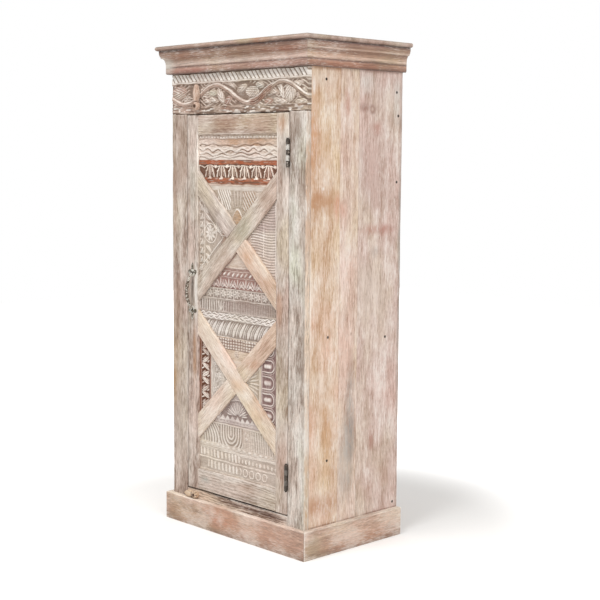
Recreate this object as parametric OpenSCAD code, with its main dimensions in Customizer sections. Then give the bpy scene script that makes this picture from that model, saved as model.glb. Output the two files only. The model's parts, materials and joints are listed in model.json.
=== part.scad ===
// Single-door cupboard built from reclaimed boards, with a carved door behind two crosses of flat braces.
// The origin is on the floor, in the middle of the whole footprint. The door faces -Y and Z is up.

/* [Carcass] */
// Width of the body across its side planks
body_w = 710; // [600:10:900]
// Depth of the body from the face frame to the back
body_d = 465; // [400:5:600]
// Height of the whole cupboard
overall_h = 1750; // [1500:10:2100]
// Thickness of the side planks and the face frame
board_t = 20; // [16:1:26]
// Thickness of the back planks
back_t = 12; // [9:1:18]
// Width of the front plank of each side
side_front_w = 138; // [100:2:170]
// Width of the middle plank of each side
side_middle_w = 90; // [60:2:110]
// Bevel along the outer edges of a side plank
plank_bevel = 1.5; // [0.5:0.25:4]
// Number of planks in the back
back_planks_n = 4; // [2:1:7]
// Gap between two back planks
back_gap = 1.2; // [0.5:0.1:3]

/* [Shelves] */
// Thickness of the floor board and the shelves
shelf_t = 18; // [14:1:24]
// Thickness of the cleats that carry them
cleat_t = 18; // [12:1:24]
// Height of the cleats
cleat_h = 28; // [20:1:40]
// Space between the door stop and the shelf fronts
shelf_setback = 2; // [0:0.5:20]

/* [Face frame] */
// Width of the stiles beside the door
stile_w = 84; // [60:2:110]
// Height of the top of the bottom frame rail above the floor
bottom_rail_top = 132; // [120:1:200]
// Height of the frieze that shows under the cornice
frieze_h = 145; // [110:5:200]
// Height of the rope band along the top of the frieze
rope_band_h = 33; // [20:1:40]
// Height of the plain fillet along the foot of the frieze
frieze_fillet_h = 25; // [10:1:40]
// Depth of the carved ground below the face
carving_depth = 6; // [3:0.5:9]
// Width of the strip that stops the door
stop_w = 41; // [36:1:60]
// Overlap of the stop behind the edge of the door
stop_lip = 10; // [5:1:20]

/* [Plinth and cornice] */
// Height of the plinth boards
plinth_h = 100; // [60:5:118]
// Thickness of the plinth boards
plinth_t = 20; // [12:1:30]
// Worn bevel along the top of the plinth
plinth_bevel = 2; // [0.5:0.5:6]
// Height of the cornice with its top board
cornice_h = 100; // [70:5:140]
// Overhang of the top board over the body, at the front and the sides
cornice_overhang = 45; // [30:1:70]
// Thickness of the top board
top_board_t = 16; // [10:1:24]
// Projection of the moulding under the top board
moulding_w = 34; // [24:1:40]

/* [Door] */
// Thickness of the door
door_t = 25; // [21:1:32]
// Gap all round the door
door_gap = 2; // [1.5:0.25:4]
// Width of the door stiles
door_stile_w = 60; // [48:1:80]
// Height of the top rail of the door
top_rail_h = 71; // [50:1:100]
// Height of the bottom rail of the door
bottom_rail_h = 81; // [60:1:110]
// Thickness of the sheet behind the carved boards
backing_t = 6; // [4:0.5:8]
// Width of the rebate that holds the sheet
rebate_w = 8; // [5:0.5:12]
// Thickness of the carved boards
carved_t = 10; // [6:0.5:12]
// Width of the braces
brace_w = 66; // [44:1:84]
// Joint between neighbouring boards and braces of the door
board_joint = 0.5; // [0.2:0.1:1.5]
// Bevel along the front edges of the braces
brace_bevel = 1.5; // [0.5:0.25:3]

/* [Hinges] */
// Length of a hinge
hinge_l = 90; // [70:2:110]
// Distance of the middle of a hinge from the end of the door
hinge_inset = 134; // [80:2:200]
// Radius of the hinge barrel
barrel_r = 6; // [4.5:0.25:8]
// Radius of the hinge pin
pin_r = 2.5; // [1.5:0.1:3.2]
// Thickness of a hinge leaf
leaf_t = 1.8; // [1.2:0.1:2.6]
// Width of a hinge leaf
leaf_w = 17; // [13:0.5:19]
// Height of the tips at the ends of the pin
pin_tip_h = 4; // [2:0.5:8]

/* [Handle] */
// Distance between the feet of the bow
handle_span = 130; // [90:2:180]
// Projection of the bow from the face of the door
handle_projection = 35; // [28:1:42]
// Radius of the bow's rod
handle_rod_r = 4.5; // [3:0.25:6]
// Length of a handle plate beyond the foot of the bow
plate_reach = 39; // [30:1:50]
// Width of a handle plate over its side lobes
plate_w = 46; // [36:1:54]
// Thickness of a handle plate
plate_t = 3; // [1.5:0.25:4]

/* [Turn buttons] */
// Thickness of the turn buttons
button_t = 16; // [10:1:18]
// Reach of the upper button from its pivot to its tip
upper_button_reach = 76; // [60:1:95]
// Reach of the lower button from its pivot to its tip
lower_button_reach = 56; // [46:1:75]
// Distance of the upper pivot from the left edge of the door
upper_pivot_inset = 63; // [45:1:90]
// Distance of the lower pivot from the left edge of the door
lower_pivot_inset = 51; // [20:1:90]
// Height of the upper pivot above the top of the door opening
upper_pivot_rise = 29; // [22:1:40]
// Radius of the rounded head of the upper button
upper_head_r = 14; // [11:0.5:18]
// Radius of the rounded head of the lower button
lower_head_r = 13; // [10:0.5:14]
// Radius of the screw that a button turns on
button_screw_r = 2.5; // [1.8:0.1:3.2]

/* [Screws] */
// Radius of the hinge and handle screws
screw_r = 1.8; // [1.4:0.1:2.2]
// Radius of their heads
screw_head_r = 3.4; // [2.8:0.1:4]
// Length of the hinge and handle screws
screw_l = 15; // [10:1:18]

/* [Hidden] */
$fn = 48;

// Clearances and the one overrun of all cuts
running_gap = 0.05;
touch_gap = 0.3;
tenon_gap = 0.2;
overrun = 1;

// Body
half_w = body_w / 2;
back_y = (body_d + cornice_overhang) / 2;
face_y = back_y - body_d;
frame_back_y = face_y + board_t;
inner_x = half_w - board_t;
inner_back_y = back_y - back_t;
carcass_h = overall_h - top_board_t;
open_half = half_w - stile_w;
open_top = overall_h - cornice_h - frieze_h;

// Door
door_half = open_half - door_gap;
door_bottom = bottom_rail_top + door_gap;
door_top = open_top - door_gap;
door_back_y = face_y + door_t;
backing_y = door_back_y - backing_t;
field_half = door_half - door_stile_w;
field_bottom = door_bottom + bottom_rail_h;
field_top = door_top - top_rail_h;
field_h = field_top - field_bottom;
tenon_share = 0.45;
shoulder_share = 0.2;
door_tenon_t = (door_t - backing_t) / 3;
frame_tenon_t = board_t / 3;

// Heights in the carved field, as shares of its height from its foot up:
// each cross by where its arms meet the stiles, and the joints between the boards
upper_cross_shares = [0.859, 0.546];
lower_cross_shares = [0.445, 0.132];
waves_foot_share = 0.927;
lotus_foot_share = 0.852;
zigzag_foot_share = 0.555;
rosettes_foot_share = 0.483;
leaves_foot_share = 0.411;
petals_foot_share = 0.154;
scallops_foot_share = 0.076;
chevron_width_share = 0.31;
arches_width_share = 0.4;

function level(share) = field_bottom + share * field_h;
function high_z(cross) = level(cross[0]);
function low_z(cross) = level(cross[1]);
function middle_z(cross) = (high_z(cross) + low_z(cross)) / 2;

// Shelves
stop_back_t = 14;
shelf_front_y = door_back_y + touch_gap + stop_back_t + shelf_setback;
shelf_shares = [0.27, 0.53, 0.79];
function shelf_top(share) = bottom_rail_top + share * (open_top - bottom_rail_top);
cleat_tops = concat(
    [for (s = shelf_shares) shelf_top(s) - shelf_t],
    [bottom_rail_top - shelf_t, carcass_h]
);

// Hinges
pin_x = (open_half + door_half) / 2;
pin_y = face_y - barrel_r - touch_gap;
hinge_zs = [door_bottom + hinge_inset, door_top - hinge_inset];
knuckles = 5;
knuckle_gap = 0.3;
knuckle_l = (hinge_l - (knuckles - 1) * knuckle_gap) / knuckles;
leaf_screw_shares = [-0.36, 0, 0.36];
countersink_h = 1.6;
pin_tip_r = (pin_r + barrel_r) / 2;

// Handle
handle_x = -(door_half - door_stile_w / 2);
handle_height_share = 0.536;
handle_z = door_bottom + handle_height_share * (door_top - door_bottom);
boss_h = 3;
boss_rim = 1.35;
boss_r = handle_rod_r + boss_rim;
bow_out = handle_projection - handle_rod_r - plate_t;
bow_r = (pow(handle_span / 2, 2) + pow(bow_out, 2)) / (2 * bow_out);
bow_half_angle = asin(handle_span / 2 / bow_r);

// Turn buttons. The lower head turns between the plinth and the door.
upper_pivot_x = -(door_half - upper_pivot_inset);
upper_pivot_z = open_top + upper_pivot_rise;
lower_pivot_x = -(door_half - lower_pivot_inset);
lower_spare_share = 0.2;
lower_spare = bottom_rail_top - plinth_h - 2 * lower_head_r;
lower_pivot_z = plinth_h + lower_head_r + lower_spare_share * lower_spare;
button_y = face_y - touch_gap;
button_head_h = 2.5;
button_head_share = 0.45;
tail_width_share = 0.92;
tail_start_share = 0.12;
button_screw_l = 14;

side_color = "#d8b695";
pale_color = "#d6c8ba";
frame_color = "#cbbcae";
grey_color = "#c4beb6";
plinth_color = "#d7a98c";
cornice_color = "#cfa594";
carved_color = "#b9a69b";
red_color = "#9d6a5c";
mauve_color = "#a58d8f";
inside_color = "#c7a883";
iron_color = "#5a534c";
button_color = "#d2ac86";

// A flat piece seen from the front: an outline in X and Z, as deep as t, whose back lies at y
module panel(y, t) {
    translate([0, y, 0]) rotate([90, 0, 0]) linear_extrude(t) children();
}

module box_from(low, high) {
    translate(low) cube(high - low);
}

// Carcass
module side_plank(side, front, back) {
    outline = [
        [inner_x, front], [half_w - plank_bevel, front], [half_w, front + plank_bevel],
        [half_w, back - plank_bevel], [half_w - plank_bevel, back], [inner_x, back]
    ];
    color(side_color) linear_extrude(carcass_h) polygon([for (p = outline) [side * p[0], p[1]]]);
}

side_front_end = frame_back_y + side_front_w;
side_middle_end = side_front_end + side_middle_w;

module side_plank_left_front() { side_plank(-1, frame_back_y, side_front_end); }
module side_plank_left_middle() { side_plank(-1, side_front_end, side_middle_end); }
module side_plank_left_rear() { side_plank(-1, side_middle_end, back_y); }
module side_plank_right_front() { side_plank(1, frame_back_y, side_front_end); }
module side_plank_right_middle() { side_plank(1, side_front_end, side_middle_end); }
module side_plank_right_rear() { side_plank(1, side_middle_end, back_y); }

module back_planks() {
    pitch = (2 * inner_x + back_gap) / back_planks_n;
    color(inside_color) for (i = [0 : back_planks_n - 1])
        translate([-inner_x + i * pitch, inner_back_y, 0]) cube([pitch - back_gap, back_t, carcass_h]);
}

module floor_board() {
    color(inside_color)
        box_from([-inner_x, frame_back_y, bottom_rail_top - shelf_t],
                 [inner_x, inner_back_y, bottom_rail_top]);
}

module shelf(share) {
    top = shelf_top(share);
    color(inside_color)
        box_from([-inner_x, shelf_front_y, top - shelf_t], [inner_x, inner_back_y, top]);
}

module shelf_lower() { shelf(shelf_shares[0]); }
module shelf_middle() { shelf(shelf_shares[1]); }
module shelf_upper() { shelf(shelf_shares[2]); }

// One cleat on each side under every shelf, under the floor board and under the top board
module shelf_cleats() {
    color(inside_color) for (top = cleat_tops, side = [-1, 1])
        translate([side * (inner_x - cleat_t / 2), (frame_back_y + inner_back_y) / 2, top - cleat_h / 2])
            cube([cleat_t, inner_back_y - frame_back_y, cleat_h], center = true);
}

// Face frame
module frame_stile_left() {
    color(frame_color) difference() {
        box_from([-half_w, face_y, 0], [-open_half, frame_back_y, open_top]);
        bottom_rail_tenons(tenon_gap);
    }
}

module frame_stile_right() {
    color(grey_color) difference() {
        box_from([open_half, face_y, 0], [half_w, frame_back_y, open_top]);
        bottom_rail_tenons(tenon_gap);
        for (z = hinge_zs) translate([pin_x, 0, z]) {
            leaf_recess(1);
            leaf_screws(1, running_gap);
        }
    }
}

module bottom_rail_tenons(gap) {
    reach = open_half + tenon_share * stile_w;
    shoulder = shoulder_share * bottom_rail_top;
    box_from([-reach - gap, face_y + frame_tenon_t - gap, shoulder - gap],
             [reach + gap, face_y + 2 * frame_tenon_t + gap, bottom_rail_top - shoulder + gap]);
}

module bottom_frame_rail() {
    color(frame_color) difference() {
        union() {
            box_from([-open_half, face_y, 0], [open_half, frame_back_y, bottom_rail_top]);
            bottom_rail_tenons(0);
        }
        lower_screw_place() button_screw(running_gap);
    }
}

// The frieze runs on behind the cornice up to the top board
module frieze_board() {
    rope_z = overall_h - cornice_h - rope_band_h;
    field_z = open_top + frieze_fillet_h;
    color(pale_color) difference() {
        box_from([-half_w, face_y, open_top], [half_w, frame_back_y, carcass_h]);
        box_from([-half_w - overrun, face_y - overrun, field_z],
                 [half_w + overrun, face_y + carving_depth, rope_z]);
        upper_screw_place() button_screw(running_gap);
    }
}

// A rebated strip behind the left stile: its lip is what the closed door rests against
module door_stop() {
    lip_x = -door_half + stop_lip;
    lip_y = door_back_y + touch_gap;
    stop_back_y = lip_y + stop_back_t;
    outline = [
        [lip_x - stop_w, frame_back_y], [-open_half, frame_back_y], [-open_half, lip_y],
        [lip_x, lip_y], [lip_x, stop_back_y], [lip_x - stop_w, stop_back_y]
    ];
    color(inside_color) translate([0, 0, bottom_rail_top])
        linear_extrude(open_top - bottom_rail_top) polygon(outline);
}

// Plinth and cornice: an outline outside the face is run along the front or a side, with mitred corners.
// The outline holds distances out of the face and heights.
module front_run(points, out) {
    front_y = face_y - out;
    plan = [[-half_w, face_y], [half_w, face_y], [half_w + out, front_y], [-half_w - out, front_y]];
    intersection() {
        translate([-half_w - out, face_y, 0]) rotate([90, 0, 90]) linear_extrude(2 * (half_w + out))
            polygon([for (p = points) [-p[0], p[1]]]);
        linear_extrude(overall_h) polygon(plan);
    }
}

module side_run(side, points, out) {
    front_y = face_y - out;
    plan = [[half_w, face_y], [half_w + out, front_y], [half_w + out, back_y], [half_w, back_y]];
    intersection() {
        translate([0, back_y, 0]) rotate([90, 0, 0]) linear_extrude(body_d + out)
            polygon([for (p = points) [side * (half_w + p[0]), p[1]]]);
        linear_extrude(overall_h) polygon([for (p = plan) [side * p[0], p[1]]]);
    }
}

plinth_points = [
    [0, 0], [plinth_t, 0], [plinth_t, plinth_h - plinth_bevel],
    [plinth_t - plinth_bevel, plinth_h], [0, plinth_h]
];

module plinth_front() { color(plinth_color) front_run(plinth_points, plinth_t); }
module plinth_left() { color(plinth_color) side_run(-1, plinth_points, plinth_t); }
module plinth_right() { color(plinth_color) side_run(1, plinth_points, plinth_t); }

// Moulding, from its foot up: a flat fascia with a rounded foot, a cove, a fillet and an ovolo.
// The shares are of its projection and of its height.
moulding_h = cornice_h - top_board_t;
fascia_out_share = 0.47;
fascia_top_share = 0.36;
cove_out_share = 0.78;
cove_top_share = 0.68;
fillet_out_share = 0.86;
fillet_top_share = 0.74;
arc_steps = 8;
function moulding_point(out_share, up_share) =
    [out_share * moulding_w, carcass_h - moulding_h + up_share * moulding_h];
function arc_shares() = [for (i = [0 : arc_steps]) 90 * i / arc_steps];
foot_share = 0.06;
ovolo_share = 0.85;
moulding_points = concat(
    [moulding_point(0, 0)],
    [for (a = arc_shares()) moulding_point(
        fascia_out_share - 2 * foot_share * (1 - sin(a)),
        foot_share * (1 - cos(a)))],
    [for (a = arc_shares()) moulding_point(
        cove_out_share - (cove_out_share - fascia_out_share) * cos(a),
        fascia_top_share + (cove_top_share - fascia_top_share) * sin(a))],
    [moulding_point(fillet_out_share, cove_top_share), moulding_point(fillet_out_share, fillet_top_share)],
    [for (a = arc_shares()) moulding_point(
        fillet_out_share + (1 - fillet_out_share) * sin(a),
        fillet_top_share + (1 - fillet_top_share) * (1 - cos(a)) * ovolo_share)],
    [moulding_point(1, 1), moulding_point(0, 1)]
);

module cornice_front() { color(cornice_color) front_run(moulding_points, moulding_w); }
module cornice_left() { color(cornice_color) side_run(-1, moulding_points, moulding_w); }
module cornice_right() { color(cornice_color) side_run(1, moulding_points, moulding_w); }

// The top board has a rounded nose at the front and the sides
module top_board() {
    nose_r = top_board_t / 2;
    edge_x = half_w + cornice_overhang;
    front_y = face_y - cornice_overhang;
    color(cornice_color) intersection() {
        translate([0, back_y, carcass_h + nose_r]) rotate([90, 0, 0])
            linear_extrude(back_y - front_y) union() {
            square([2 * (edge_x - nose_r), top_board_t], center = true);
            for (side = [-1, 1]) translate([side * (edge_x - nose_r), 0]) circle(nose_r);
        }
        translate([-edge_x, 0, carcass_h + nose_r]) rotate([90, 0, 90])
            linear_extrude(2 * edge_x) union() {
            translate([front_y + nose_r, -nose_r]) square([back_y - front_y - nose_r, top_board_t]);
            translate([front_y + nose_r, 0]) circle(nose_r);
        }
    }
}

// Hinges. Both leaves are let into the wood; side is 1 for the frame and -1 for the door.
leaf_front_y = pin_y + barrel_r + touch_gap;

function leaf_face_x(side) = side * door_gap / 2;

module leaf_plate(side, y_from, y_to, h) {
    x = leaf_face_x(side) + side * leaf_t / 2;
    translate([x - leaf_t / 2, y_from, -h / 2]) cube([leaf_t, y_to - y_from, h]);
}

module leaf_recess(side) {
    near = leaf_face_x(side) - side * overrun;
    far = leaf_face_x(side) + side * (leaf_t + running_gap);
    box_from([min(near, far), face_y - overrun, -hinge_l / 2 - touch_gap],
             [max(near, far), face_y + leaf_w + touch_gap, hinge_l / 2 + touch_gap]);
}

// Three countersunk screws through a leaf, their heads flush with its face
module leaf_screws(side, gap) {
    for (share = leaf_screw_shares)
        translate([leaf_face_x(side), face_y + leaf_w / 2, share * hinge_l])
            rotate([0, side * 90, 0]) screw(gap);
}

module screw(gap) {
    cylinder(h = screw_l + gap, r = screw_r + gap);
    cylinder(h = countersink_h, r1 = screw_head_r + gap, r2 = screw_r + gap);
}

module hinge_leaf(side, own) {
    difference() {
        union() {
            leaf_plate(side, leaf_front_y, face_y + leaf_w, hinge_l);
            for (k = own) translate([0, 0, (k - (knuckles - 1) / 2) * (knuckle_l + knuckle_gap)]) {
                leaf_plate(side, pin_y, leaf_front_y, knuckle_l);
                translate([0, pin_y, 0]) cylinder(h = knuckle_l, r = barrel_r, center = true);
            }
        }
        translate([0, pin_y, -hinge_l]) cylinder(h = 2 * hinge_l, r = pin_r + running_gap);
        leaf_screws(side, running_gap);
    }
}

module hinge_frame_leaves() {
    color(iron_color) for (z = hinge_zs)
        translate([pin_x, 0, z]) hinge_leaf(1, [0 : 2 : knuckles - 1]);
}

module hinge_door_leaves() {
    color(iron_color) for (z = hinge_zs)
        translate([pin_x, 0, z]) hinge_leaf(-1, [1 : 2 : knuckles - 1]);
}

module hinge_pins() {
    color(iron_color) for (z = hinge_zs) translate([pin_x, pin_y, z]) {
        cylinder(h = hinge_l + 2 * pin_tip_h, r = pin_r, center = true);
        for (end = [-1, 1]) translate([0, 0, end * (hinge_l + pin_tip_h) / 2])
            cylinder(h = pin_tip_h, r = pin_tip_r, center = true);
    }
}

module frame_hinge_screws() {
    color(iron_color) for (z = hinge_zs) translate([pin_x, 0, z]) leaf_screws(1, 0);
}

// Door frame
module rail_tenons(bottom, top, gap) {
    reach = field_half + tenon_share * door_stile_w;
    shoulder = shoulder_share * (top - bottom);
    box_from([-reach - gap, face_y + door_tenon_t - gap, bottom + shoulder - gap],
             [reach + gap, face_y + 2 * door_tenon_t + gap, top - shoulder + gap]);
}

// The sheet behind the boards sits in a rebate all round
module backing_box(gap) {
    box_from([-field_half - rebate_w - gap, backing_y, field_bottom - rebate_w - gap],
             [field_half + rebate_w + gap, door_back_y + overrun, field_top + rebate_w + gap]);
}

module door_stile(side) {
    x = side * (field_half + door_stile_w / 2);
    difference() {
        translate([x - door_stile_w / 2, face_y, door_bottom])
            cube([door_stile_w, door_t, door_top - door_bottom]);
        rail_tenons(field_top, door_top, tenon_gap);
        rail_tenons(door_bottom, field_bottom, tenon_gap);
        backing_box(tenon_gap);
        if (side > 0) for (z = hinge_zs) translate([pin_x, 0, z]) {
            leaf_recess(-1);
            leaf_screws(-1, running_gap);
        }
        if (side < 0) handle_screws(running_gap);
    }
}

module door_stile_left() { color(pale_color) door_stile(-1); }
module door_stile_right() { color(pale_color) door_stile(1); }

module door_rail(bottom, top) {
    color(pale_color) difference() {
        union() {
            box_from([-field_half, face_y, bottom], [field_half, door_back_y, top]);
            rail_tenons(bottom, top, 0);
        }
        backing_box(tenon_gap);
    }
}

module door_rail_top() { door_rail(field_top, door_top); }
module door_rail_bottom() { door_rail(door_bottom, field_bottom); }

module door_backing() {
    color(inside_color)
        box_from([-field_half - rebate_w, backing_y, field_bottom - rebate_w],
                 [field_half + rebate_w, door_back_y, field_top + rebate_w]);
}

// Braces. rise is 1 for an arm that climbs to the right and -1 for one that climbs to the left.
function arm_angle(cross) = atan2(high_z(cross) - low_z(cross), 2 * field_half);
function arm_slope(cross) = tan(arm_angle(cross));

// Where an arm crosses the field, seen from the front, with a joint left on both sides
module arm_outline(cross, rise, gap) {
    end_x = field_half + overrun;
    end_z = rise * arm_slope(cross) * end_x;
    half_h = (brace_w / 2 + gap) / cos(arm_angle(cross));
    translate([0, middle_z(cross)]) polygon([
        [-end_x, -end_z - half_h], [end_x, end_z - half_h],
        [end_x, end_z + half_h], [-end_x, -end_z + half_h]
    ]);
}

// A bar with bevelled front edges, cut off upright between two distances from the middle
module arm(cross, rise, from, to) {
    bar_t = backing_y - face_y;
    edge = brace_w / 2;
    section = [
        [0, -edge], [0, edge], [brace_bevel - bar_t, edge], [-bar_t, edge - brace_bevel],
        [-bar_t, brace_bevel - edge], [brace_bevel - bar_t, -edge]
    ];
    intersection() {
        translate([0, backing_y, middle_z(cross)]) rotate([0, -rise * arm_angle(cross), 0])
            translate([-field_h, 0, 0]) rotate([90, 0, 90]) linear_extrude(2 * field_h) polygon(section);
        box_from([from, face_y - overrun, field_bottom], [to, backing_y + overrun, field_top]);
    }
}

module long_brace(cross, rise) {
    arm(cross, rise, -field_half, field_half);
}

// A short brace runs from a stile to the long one that it meets
module short_brace(cross, rise, side) {
    difference() {
        arm(cross, rise, side < 0 ? -field_half : 0, side < 0 ? 0 : field_half);
        panel(door_back_y, 2 * door_t) arm_outline(cross, -rise, board_joint);
    }
}

module brace_upper_long() { color(pale_color) long_brace(upper_cross_shares, 1); }
module brace_upper_left() { color(pale_color) short_brace(upper_cross_shares, -1, -1); }
module brace_upper_right() { color(pale_color) short_brace(upper_cross_shares, -1, 1); }
module brace_lower_long() { color(pale_color) long_brace(lower_cross_shares, -1); }
module brace_lower_left() { color(pale_color) short_brace(lower_cross_shares, 1, -1); }
module brace_lower_right() { color(pale_color) short_brace(lower_cross_shares, 1, 1); }

// Carved boards: each fills a part of the field between the stiles, cut to the braces that cross it.
// over and under list the crosses that it lies wholly over or under.
module carved_board(points, over = [], under = []) {
    panel(backing_y, carved_t) difference() {
        polygon(points);
        for (cross = [upper_cross_shares, lower_cross_shares], rise = [-1, 1])
            arm_outline(cross, rise, board_joint);
        for (cross = over) beyond_arms(cross, -1);
        for (cross = under) beyond_arms(cross, 1);
    }
}

// All of the field on one side of the arms of a cross: 1 takes what is over them and beside them,
// -1 what is under them and beside them
module beyond_arms(cross, side) {
    end_x = field_half + overrun;
    end_z = -side * arm_slope(cross) * end_x;
    translate([0, middle_z(cross)]) polygon([
        [-end_x, end_z], [0, 0], [end_x, end_z], [end_x, side * field_h], [-end_x, side * field_h]
    ]);
}

function band(low_z, high_z) = [
    [-field_half, low_z + board_joint / 2], [field_half, low_z + board_joint / 2],
    [field_half, high_z - board_joint / 2], [-field_half, high_z - board_joint / 2]
];

// The corner of the field beside a cross, between two distances from the middle
function side_wedge(cross, side, near, far) = let (
    slope = arm_slope(cross), mid = middle_z(cross),
    a = near == 0 ? 0 : near + board_joint / 2,
    b = far == field_half ? far : far - board_joint / 2
) [
    [side * a, mid - slope * a], [side * b, mid - slope * b],
    [side * b, mid + slope * b], [side * a, mid + slope * a]
];

module carved_waves() {
    color(mauve_color) carved_board(band(level(waves_foot_share), field_top), over = [upper_cross_shares]);
}
module carved_lotus() {
    color(red_color)
        carved_board(band(level(lotus_foot_share), level(waves_foot_share)), over = [upper_cross_shares]);
}
module carved_fan() {
    color(carved_color)
        carved_board(band(middle_z(upper_cross_shares), level(lotus_foot_share)),
                     over = [upper_cross_shares]);
}
module carved_flower() {
    color(carved_color) carved_board(side_wedge(upper_cross_shares, -1, 0, field_half));
}
module carved_ladder() {
    color(mauve_color) carved_board(side_wedge(upper_cross_shares, 1, 0, field_half));
}
module carved_zigzag() {
    color(mauve_color)
        carved_board(band(level(zigzag_foot_share), middle_z(upper_cross_shares)),
                     under = [upper_cross_shares]);
}
module carved_rosettes() {
    color(grey_color)
        carved_board(band(level(rosettes_foot_share), level(zigzag_foot_share)),
                     over = [lower_cross_shares], under = [upper_cross_shares]);
}
module carved_leaves() {
    color(grey_color)
        carved_board(band(level(leaves_foot_share), level(rosettes_foot_share)),
                     over = [lower_cross_shares], under = [upper_cross_shares]);
}
module carved_checker() {
    color(carved_color)
        carved_board(band(middle_z(lower_cross_shares), level(leaves_foot_share)),
                     over = [lower_cross_shares]);
}

chevron_x = field_half * (1 - chevron_width_share);
arches_x = field_half * (1 - arches_width_share);

module carved_chevron() {
    color(red_color) carved_board(side_wedge(lower_cross_shares, -1, chevron_x, field_half));
}
module carved_sprigs() {
    color(grey_color) carved_board(side_wedge(lower_cross_shares, -1, 0, chevron_x));
}
module carved_arches() {
    color(mauve_color) carved_board(side_wedge(lower_cross_shares, 1, arches_x, field_half));
}
module carved_lined() {
    color(grey_color) carved_board(side_wedge(lower_cross_shares, 1, 0, arches_x));
}
module carved_petals() {
    color(mauve_color)
        carved_board(band(level(petals_foot_share), middle_z(lower_cross_shares)),
                     under = [lower_cross_shares]);
}
module carved_scallops() {
    color(carved_color)
        carved_board(band(level(scallops_foot_share), level(petals_foot_share)),
                     under = [lower_cross_shares]);
}
module carved_teeth() {
    color(carved_color)
        carved_board(band(field_bottom, level(scallops_foot_share)), under = [lower_cross_shares]);
}

// Handle: a bow between two lobed plates, cast in one
lobe_share = 0.167;
tip_share = 0.143;
lobe_r = lobe_share * plate_w;
lobe_x = plate_w / 2 - lobe_r;
tip_r = tip_share * plate_w;

module handle_plate(end) {
    tip_z = end * (plate_reach - tip_r);
    translate([0, 0, end * handle_span / 2]) panel(0, plate_t) {
        circle(boss_r + lobe_r / 2);
        for (side = [-1, 1]) translate([side * lobe_x, end * lobe_r]) circle(lobe_r);
        translate([0, end * lobe_r]) square([2 * lobe_x, lobe_r], center = true);
        translate([0, tip_z]) circle(tip_r);
        translate([0, tip_z / 2]) square([tip_r, abs(tip_z)], center = true);
    }
}

module handle() {
    color(iron_color) difference() {
        translate([handle_x, face_y, handle_z]) {
            for (end = [-1, 1]) {
                handle_plate(end);
                translate([0, 0, end * handle_span / 2]) rotate([90, 0, 0])
                    cylinder(h = plate_t + boss_h, r = boss_r);
            }
            translate([0, bow_r - bow_out - plate_t, 0]) rotate([0, 90, 0])
                rotate([0, 0, -90 - bow_half_angle]) rotate_extrude(angle = 2 * bow_half_angle)
                    translate([bow_r, 0]) circle(handle_rod_r);
        }
        handle_screws(running_gap);
    }
}

module handle_screws(gap) {
    for (end = [-1, 1], side = [-1, 1])
        translate([handle_x + side * lobe_x, face_y - plate_t, handle_z + end * (handle_span / 2 + lobe_r)])
            rotate([-90, 0, 0]) screw(gap);
}

module door_screws() {
    color(iron_color) {
        for (z = hinge_zs) translate([pin_x, 0, z]) leaf_screws(-1, 0);
        handle_screws(0);
    }
}

// Turn buttons: a round head on a screw and a leaf-shaped tail, drawn with the tail along +X
module button_outline(head_r, reach) {
    tail_from = tail_start_share * reach;
    tail_half = (reach - tail_from) / 2;
    tail_half_w = tail_width_share * head_r;
    leaf_r = (pow(tail_half, 2) + pow(tail_half_w, 2)) / (2 * tail_half_w);
    circle(head_r);
    intersection() {
        translate([tail_from + tail_half, tail_half_w - leaf_r]) circle(leaf_r, $fn = 96);
        translate([tail_from + tail_half, leaf_r - tail_half_w]) circle(leaf_r, $fn = 96);
    }
}

module turn_button(head_r, reach) {
    rotate([90, 0, 0]) difference() {
        linear_extrude(button_t) button_outline(head_r, reach);
        translate([0, 0, -overrun])
            cylinder(h = button_t + 2 * overrun, r = button_screw_r + running_gap);
    }
}

module button_screw(gap) {
    head_r = button_head_share * lower_head_r;
    translate([0, button_screw_l + touch_gap, 0]) rotate([90, 0, 0])
        cylinder(h = button_screw_l + touch_gap + button_t + touch_gap, r = button_screw_r + gap);
    translate([0, -button_t - touch_gap, 0]) rotate([90, 0, 0])
        cylinder(h = button_head_h, r = head_r);
}

module upper_screw_place() { translate([upper_pivot_x, button_y, upper_pivot_z]) children(); }
module lower_screw_place() { translate([lower_pivot_x, button_y, lower_pivot_z]) children(); }

module button_screws() {
    color(iron_color) {
        upper_screw_place() button_screw(0);
        lower_screw_place() button_screw(0);
    }
}

// The upper button is stored tail up, clear of the door; the lower one points to the left
module upper_turn_button() {
    color(button_color) upper_screw_place() rotate([0, -90, 0])
        turn_button(upper_head_r, upper_button_reach);
}
module lower_turn_button() {
    color(button_color) lower_screw_place() rotate([0, 180, 0])
        turn_button(lower_head_r, lower_button_reach);
}

side_plank_left_front();
side_plank_left_middle();
side_plank_left_rear();
side_plank_right_front();
side_plank_right_middle();
side_plank_right_rear();
back_planks();
floor_board();
shelf_lower();
shelf_middle();
shelf_upper();
shelf_cleats();
frame_stile_left();
frame_stile_right();
bottom_frame_rail();
frieze_board();
door_stop();
plinth_front();
plinth_left();
plinth_right();
cornice_front();
cornice_left();
cornice_right();
top_board();
hinge_frame_leaves();
hinge_pins();
frame_hinge_screws();
button_screws();
door_stile_left();
door_stile_right();
door_rail_top();
door_rail_bottom();
door_backing();
brace_upper_long();
brace_upper_left();
brace_upper_right();
brace_lower_long();
brace_lower_left();
brace_lower_right();
carved_waves();
carved_lotus();
carved_fan();
carved_flower();
carved_ladder();
carved_zigzag();
carved_rosettes();
carved_leaves();
carved_checker();
carved_chevron();
carved_sprigs();
carved_arches();
carved_lined();
carved_petals();
carved_scallops();
carved_teeth();
hinge_door_leaves();
door_screws();
handle();
upper_turn_button();
lower_turn_button();
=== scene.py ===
# Limewashed cupboard with one carved door between two crosses of flat braces.
# The frame gives every piece its place; this script gives boards, carving, iron and their finishes.
import json
import math
from contextlib import contextmanager
from functools import partial

import bpy
import numpy as np
from mathutils import Matrix, Vector


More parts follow.
